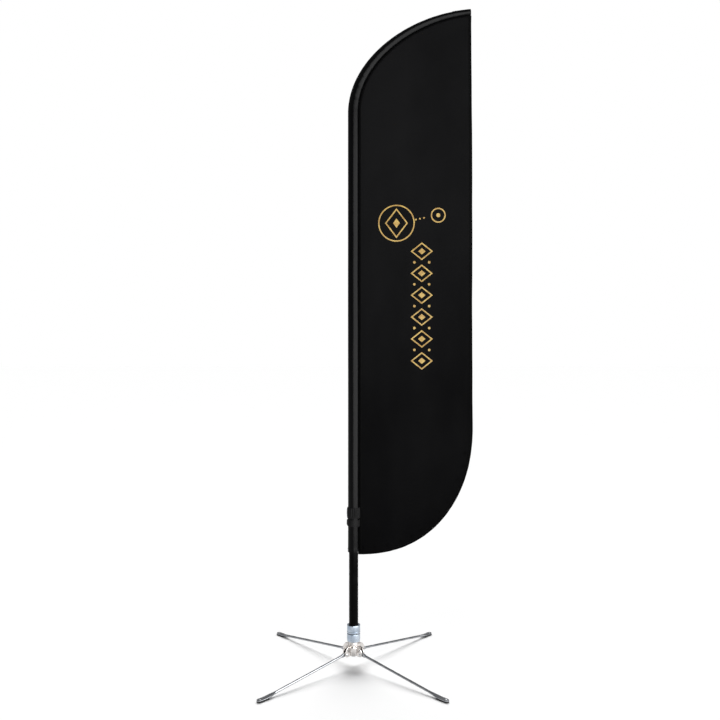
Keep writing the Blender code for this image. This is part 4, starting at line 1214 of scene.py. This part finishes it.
ear_outline = rounded(
    [
        (16.5 * MM, ear_low),
        (EAR_REACH - 6 * MM, ear_low),
        (EAR_REACH, ear_low + 6 * MM),
        (EAR_REACH, hub_high.z - 13 * MM),
        (EAR_REACH - 11 * MM, hub_high.z),
        (18.2 * MM, hub_high.z),
        (18.2 * MM, HUB_TOP),
        (16.5 * MM, HUB_TOP - 1 * MM),
    ],
    np.array([0.5, 3.0, 3.0, 6.0, 5.0, 1.0, 0.5, 0.5]) * MM,
)
stop_outline = rounded([(16, -5.0), (31, -5.0), (31, 5.0), (16, 5.0)], 0.6) * MM
for leg_angle in (45, 135, 225, 315):
    for side in (-1, 1):
        flat = slab(ear_outline, -EAR_THICK / 2, EAR_THICK / 2, 0.7 * MM)
        stood = np.stack([flat[..., 0], side * EAR_MIDDLE - flat[..., 2], flat[..., 1]], axis=-1)
        hub_skins.append(skin(turn_about(stood, leg_angle), round_columns=True))
    stop = slab(stop_outline, hub_low.z + 1 * MM, HINGE_HEIGHT - 6.3 * MM, 0.5 * MM)
    hub_skins.append(skin(turn_about(stop, leg_angle), round_columns=True))
make_piece("hub_casting", hub_skins, nickel_finish, "hub", ["hub_body"])
print("hub", round(2 * HUB_RADIUS / MM), "mm across, ears reach", EAR_REACH / MM, "mm")

# %% Make the hinge pins and the centre bolt
PIN_RADIUS = 3 * MM
PIN_HEAD = 4.6 * MM
pin_reach = 7.6 * MM
pin_profile = rounded(
    [
        (0, -pin_reach - 1.6 * MM),
        (PIN_HEAD * 0.7, -pin_reach - 1.6 * MM),
        (PIN_HEAD, -pin_reach),
        (PIN_RADIUS, -pin_reach),
        (PIN_RADIUS, pin_reach),
        (PIN_HEAD, pin_reach),
        (PIN_HEAD * 0.7, pin_reach + 1.6 * MM),
        (0, pin_reach + 1.6 * MM),
    ],
    np.array([0, 1.6, 0.4, 0, 0, 0.4, 1.6, 0]) * MM,
)
leg_angles = {"front_left": 225, "front_right": 315, "back_right": 45, "back_left": 135}
for side, degrees in leg_angles.items():
    points, faces, uv = turned(pin_profile, 48, (0, 0, 0))
    lying = np.stack([points[:, 0] + HINGE_RADIUS, points[:, 2], points[:, 1] + HINGE_HEIGHT], axis=1)
    placed = turn_about(lying, degrees)
    pin = [(placed, faces, uv)]
    make_piece(f"{side}_pin_domed", pin, steel_finish, "hub", [f"{side}_hinge_pin"])
sixth = np.arange(6) * np.pi / 3
hex_corners = 9.8 * MM * np.stack([np.cos(sixth), np.sin(sixth)], axis=1)
bolt_low, bolt_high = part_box("centre_bolt")
bolt_head = slab(rounded(hex_corners, 0.8 * MM), bolt_low.z, hub_low.z - 0.3 * MM, 0.8 * MM) + [POLE_X, 0, 0]
shank = [(0, hub_low.z - 0.5 * MM), (5 * MM, hub_low.z - 0.5 * MM), (5 * MM, bolt_high.z), (0, bolt_high.z)]
make_piece(
    "centre_bolt_hex",
    [skin(bolt_head, round_columns=True), turned(shank, 48)],
    steel_finish,
    "hub",
    ["centre_bolt"],
)
print(len(leg_angles), "hinge pins at radius", round(HINGE_RADIUS / MM, 1), "mm")

# %% [markdown]
# ## The legs
#
# A leg is one steel bar. Its inner end is forged flat and upright to make the tongue that the pin goes
# through, and its outer end is pressed flat and level to make the foot. So it is a single loft whose
# section changes along the way: an oval with half-width w, half-height h and a power p, which is 2 for
# round and more for square. The tongue has no hole here, so the pin runs straight through it. The ears hide
# the place.


# %% Make the legs
def leg_points(steps=170, segments=32):
    """Sections |y/w|^p + |z/h|^p = 1 along the leg, with w, h, p and the height of the middle eased between
    stations."""
    x_end = LEG_REACH - HINGE_RADIUS
    foot_x = x_end - FOOT_LENGTH
    round_start = x_end - FOOT_WIDTH / 2
    foot_middle = FOOT_LOW + FOOT_THICK / 2 - HINGE_HEIGHT
    stations = np.array([-12, 13, 23, 35, 0, 0, 0]) * MM
    stations[4:] = foot_x - 34 * MM, foot_x + 4 * MM, x_end
    width = np.array([3, 3, 4, 4, 4, 9, 9]) * MM
    half = np.array([6, 6, 4, 4, 4, 2, 2]) * MM
    power = np.array([7, 7, 2, 2, 2, 6, 6.0])
    bar_start = 10.5 * MM
    slope_end = foot_x + 8 * MM
    straight = np.linspace(stations[0], round_start, steps - 14)
    bow = round_start + (x_end - round_start) * np.sin(np.linspace(0, np.pi / 2, 15))[1:]
    x = np.concatenate([straight, bow])
    spot = np.interp(x, stations, np.arange(7.0))
    low = np.clip(spot.astype(int), 0, 5)
    ease = spot - low
    ease = ease * ease * (3 - 2 * ease)
    w, h, p = (values[low] + (values[low + 1] - values[low]) * ease for values in (width, half, power))
    fall = np.clip((x - bar_start) / (slope_end - bar_start), 0, 1)
    z_mid = fall * foot_middle
    w = w * np.sqrt(np.clip(1 - ((x - round_start) / (x_end - round_start)).clip(0, 1) ** 2, 0, 1))
    turn = np.linspace(0, 2 * np.pi, segments, endpoint=False)[None, :]
    p = p[:, None]
    y = w[:, None] * squared_off(np.cos(turn), 2 / p)
    z = z_mid[:, None] + h[:, None] * squared_off(np.sin(turn), 2 / p)
    points = np.stack([np.broadcast_to(x[:, None], y.shape), y, z], axis=-1)
    cap = np.broadcast_to(points[0].mean(axis=0), points[0].shape)[None]
    return np.concatenate([cap, points]) + [HINGE_RADIUS, 0, HINGE_HEIGHT]


LEG_REACH = 0.421
FOOT_LENGTH = 42 * MM
FOOT_WIDTH = 18 * MM
FOOT_THICK = 4 * MM
FOOT_LOW = 3.3 * MM
PAD_WIDTH = 20 * MM
PAD_THICK = 3 * MM
RIVET_AT = LEG_REACH - 10 * MM
leg_shape = leg_points()
bow = np.linspace(-np.pi / 2, np.pi / 2, 24)
pad_half = PAD_WIDTH / 2
pad_end = np.stack([LEG_REACH - pad_half + pad_half * np.cos(bow), pad_half * np.sin(bow)], axis=1)
pad_start = rounded([(LEG_REACH - FOOT_LENGTH, pad_half), (LEG_REACH - FOOT_LENGTH, -pad_half)], 0.0, 1)
pad_outline = np.concatenate([pad_end, pad_start])
rivet_profile = rounded(
    [
        (0, 0.6 * MM),
        (2 * MM, 0.6 * MM),
        (2 * MM, FOOT_LOW + FOOT_THICK),
        (4.2 * MM, FOOT_LOW + FOOT_THICK + 0.1 * MM),
        (3.2 * MM, FOOT_LOW + FOOT_THICK + 1.5 * MM),
        (0, FOOT_LOW + FOOT_THICK + 1.7 * MM),
    ],
    np.array([0, 0.3, 0, 0.5, 1.4, 0]) * MM,
)
for side, degrees in leg_angles.items():
    body = f"{side}_leg"
    leg = skin(turn_about(leg_shape, degrees), round_columns=True)
    make_piece(f"{side}_leg_bar", [leg], bar_finish, body, [f"{side}_leg"])
    pad = skin(turn_about(slab(pad_outline, 0.0, PAD_THICK, 0.6 * MM), degrees), round_columns=True)
    make_piece(f"{side}_pad_moulded", [pad], rubber_finish, body, [f"{side}_foot_pad"])
    points, faces, uv = turned(rivet_profile, 48, (RIVET_AT, 0, 0))
    rivet = (turn_about(points, degrees), faces, uv)
    make_piece(f"{side}_rivet_domed", [rivet], steel_finish, body, [f"{side}_foot_rivet"])
print("legs reach", LEG_REACH, "m from the pole")

# %% [markdown]
#
# A sheet of cloth was cut flat before it was sewn, and cloth hardly stretches, so the finished surface has
# to have the area of its cut. The flag's cut is the area between the seam and the free edge. The sleeve was
# a strip as wide as its way round the pole, plus what its seam takes.

# %% [markdown]
# ## Studio
#
# A plain pale floor, a white backdrop and soft light. The world lights the object dimly from all sides, so
# black stays black, while the camera sees plain white behind it. One wide lamp above and behind lights the
# floor and throws the soft shadows of the base: only the base blocks it, because the shadow of a flag this
# tall would cover the floor. A big soft box at the front right draws the long light stripe on the sleeve.
# It lights by reflection alone, as a box does when the main lamp is far brighter. The camera looks level.

# %% Light the studio and place the camera
scene = bpy.context.scene


def studio_floor():
    made, tree, shader = start_material("matt_painted_floor", {"Specular IOR Level": 0.1, "Roughness": 0.9})
    grain = node(tree, "TexNoise", {"Vector": object_place(tree), "Scale": 3.0, "Detail": 2.0}).outputs[0]
    greys = {0: grain, 6: linear("#f3f3f3"), 7: linear("#f6f6f6")}
    return finish_material(made, tree, shader, node(tree, "Mix", greys, data_type="RGBA").outputs[2])


FLOOR_HALF = 120.0
square = FLOOR_HALF * np.array([[-1, -1], [1, -1], [1, 1], [-1, 1]])
floor_mesh = bpy.data.meshes.new("studio_floor")
floor_mesh.from_pydata([(x, y, -0.2 * MM) for x, y in square.tolist()], [], [(0, 1, 2, 3)])
floor_mesh.materials.append(studio_floor())
floor = bpy.data.objects.new("studio_floor", floor_mesh)
scene.collection.objects.link(floor)
floor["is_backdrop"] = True

WORLD_GLOW = 0.36  # what lights the object; the camera sees a white world instead
world = bpy.data.worlds.new("pale_studio")
scene.world = world
world.use_nodes = True
sky = world.node_tree
lit = sky.nodes["Background"]
lit.inputs["Color"].default_value = linear("#ffffff")
lit.inputs["Strength"].default_value = WORLD_GLOW
white = node(sky, "Background", {"Color": linear("#ffffff"), "Strength": 1.0})
seen = node(sky, "LightPath").outputs["Is Camera Ray"]
shown = node(sky, "MixShader", {0: seen, 1: lit.outputs[0], 2: white.outputs[0]})
sky.links.new(shown.outputs[0], sky.nodes["World Output"].inputs["Surface"])


def lamp(name, kind, place, aim, power, **settings):
    """A lamp at a place that points at aim."""
    data = bpy.data.lights.new(name, kind)
    data.energy = power
    for setting, value in settings.items():
        setattr(data, setting, value)
    made = bpy.data.objects.new(name, data)
    made.location = place
    made.rotation_euler = (Vector(aim) - Vector(place)).to_track_quat("-Z", "Y").to_euler()
    scene.collection.objects.link(made)
    return made


wide_lamp = lamp("wide_lamp", "SUN", (0.0, 1.1, 1.0), (0.0, 0.0, 0.0), 3.6, angle=np.radians(42))
wide_lamp.visible_glossy = False
blockers = bpy.data.collections.new("base_shadow")
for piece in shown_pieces():
    if not {"flag", "middle_pole", "lower_pole"} & set(body_of(piece) or ["flag"]):
        blockers.objects.link(piece)
wide_lamp.light_linking.blocker_collection = blockers
KEY_SIDE = np.radians(41)
KEY_AWAY = 1.8
KEY_HEIGHT = 1.25
key_place = (POLE_X + KEY_AWAY * np.sin(KEY_SIDE), -KEY_AWAY * np.cos(KEY_SIDE), KEY_HEIGHT)
key_aim = (POLE_X, 0.0, KEY_HEIGHT)
key_box = lamp("key_box", "AREA", key_place, key_aim, 190.0, shape="RECTANGLE", size=3.4, size_y=2.9)
key_box.visible_diffuse = False
key_box.visible_camera = False

camera_data = bpy.data.cameras.new("camera")
camera_data.lens = 38.1
camera_data.sensor_width = 36.0
camera_data.clip_end = 400.0
camera = bpy.data.objects.new("camera", camera_data)
camera.location = (POLE_X + 0.0224, -2.667, 1.066)
camera.rotation_euler = (np.radians(90), 0.0, 0.0)
scene.collection.objects.link(camera)
scene.camera = camera
scene.view_settings.view_transform = "Standard"
print("camera", [round(value, 3) for value in camera.location], "lens", camera_data.lens, "mm")
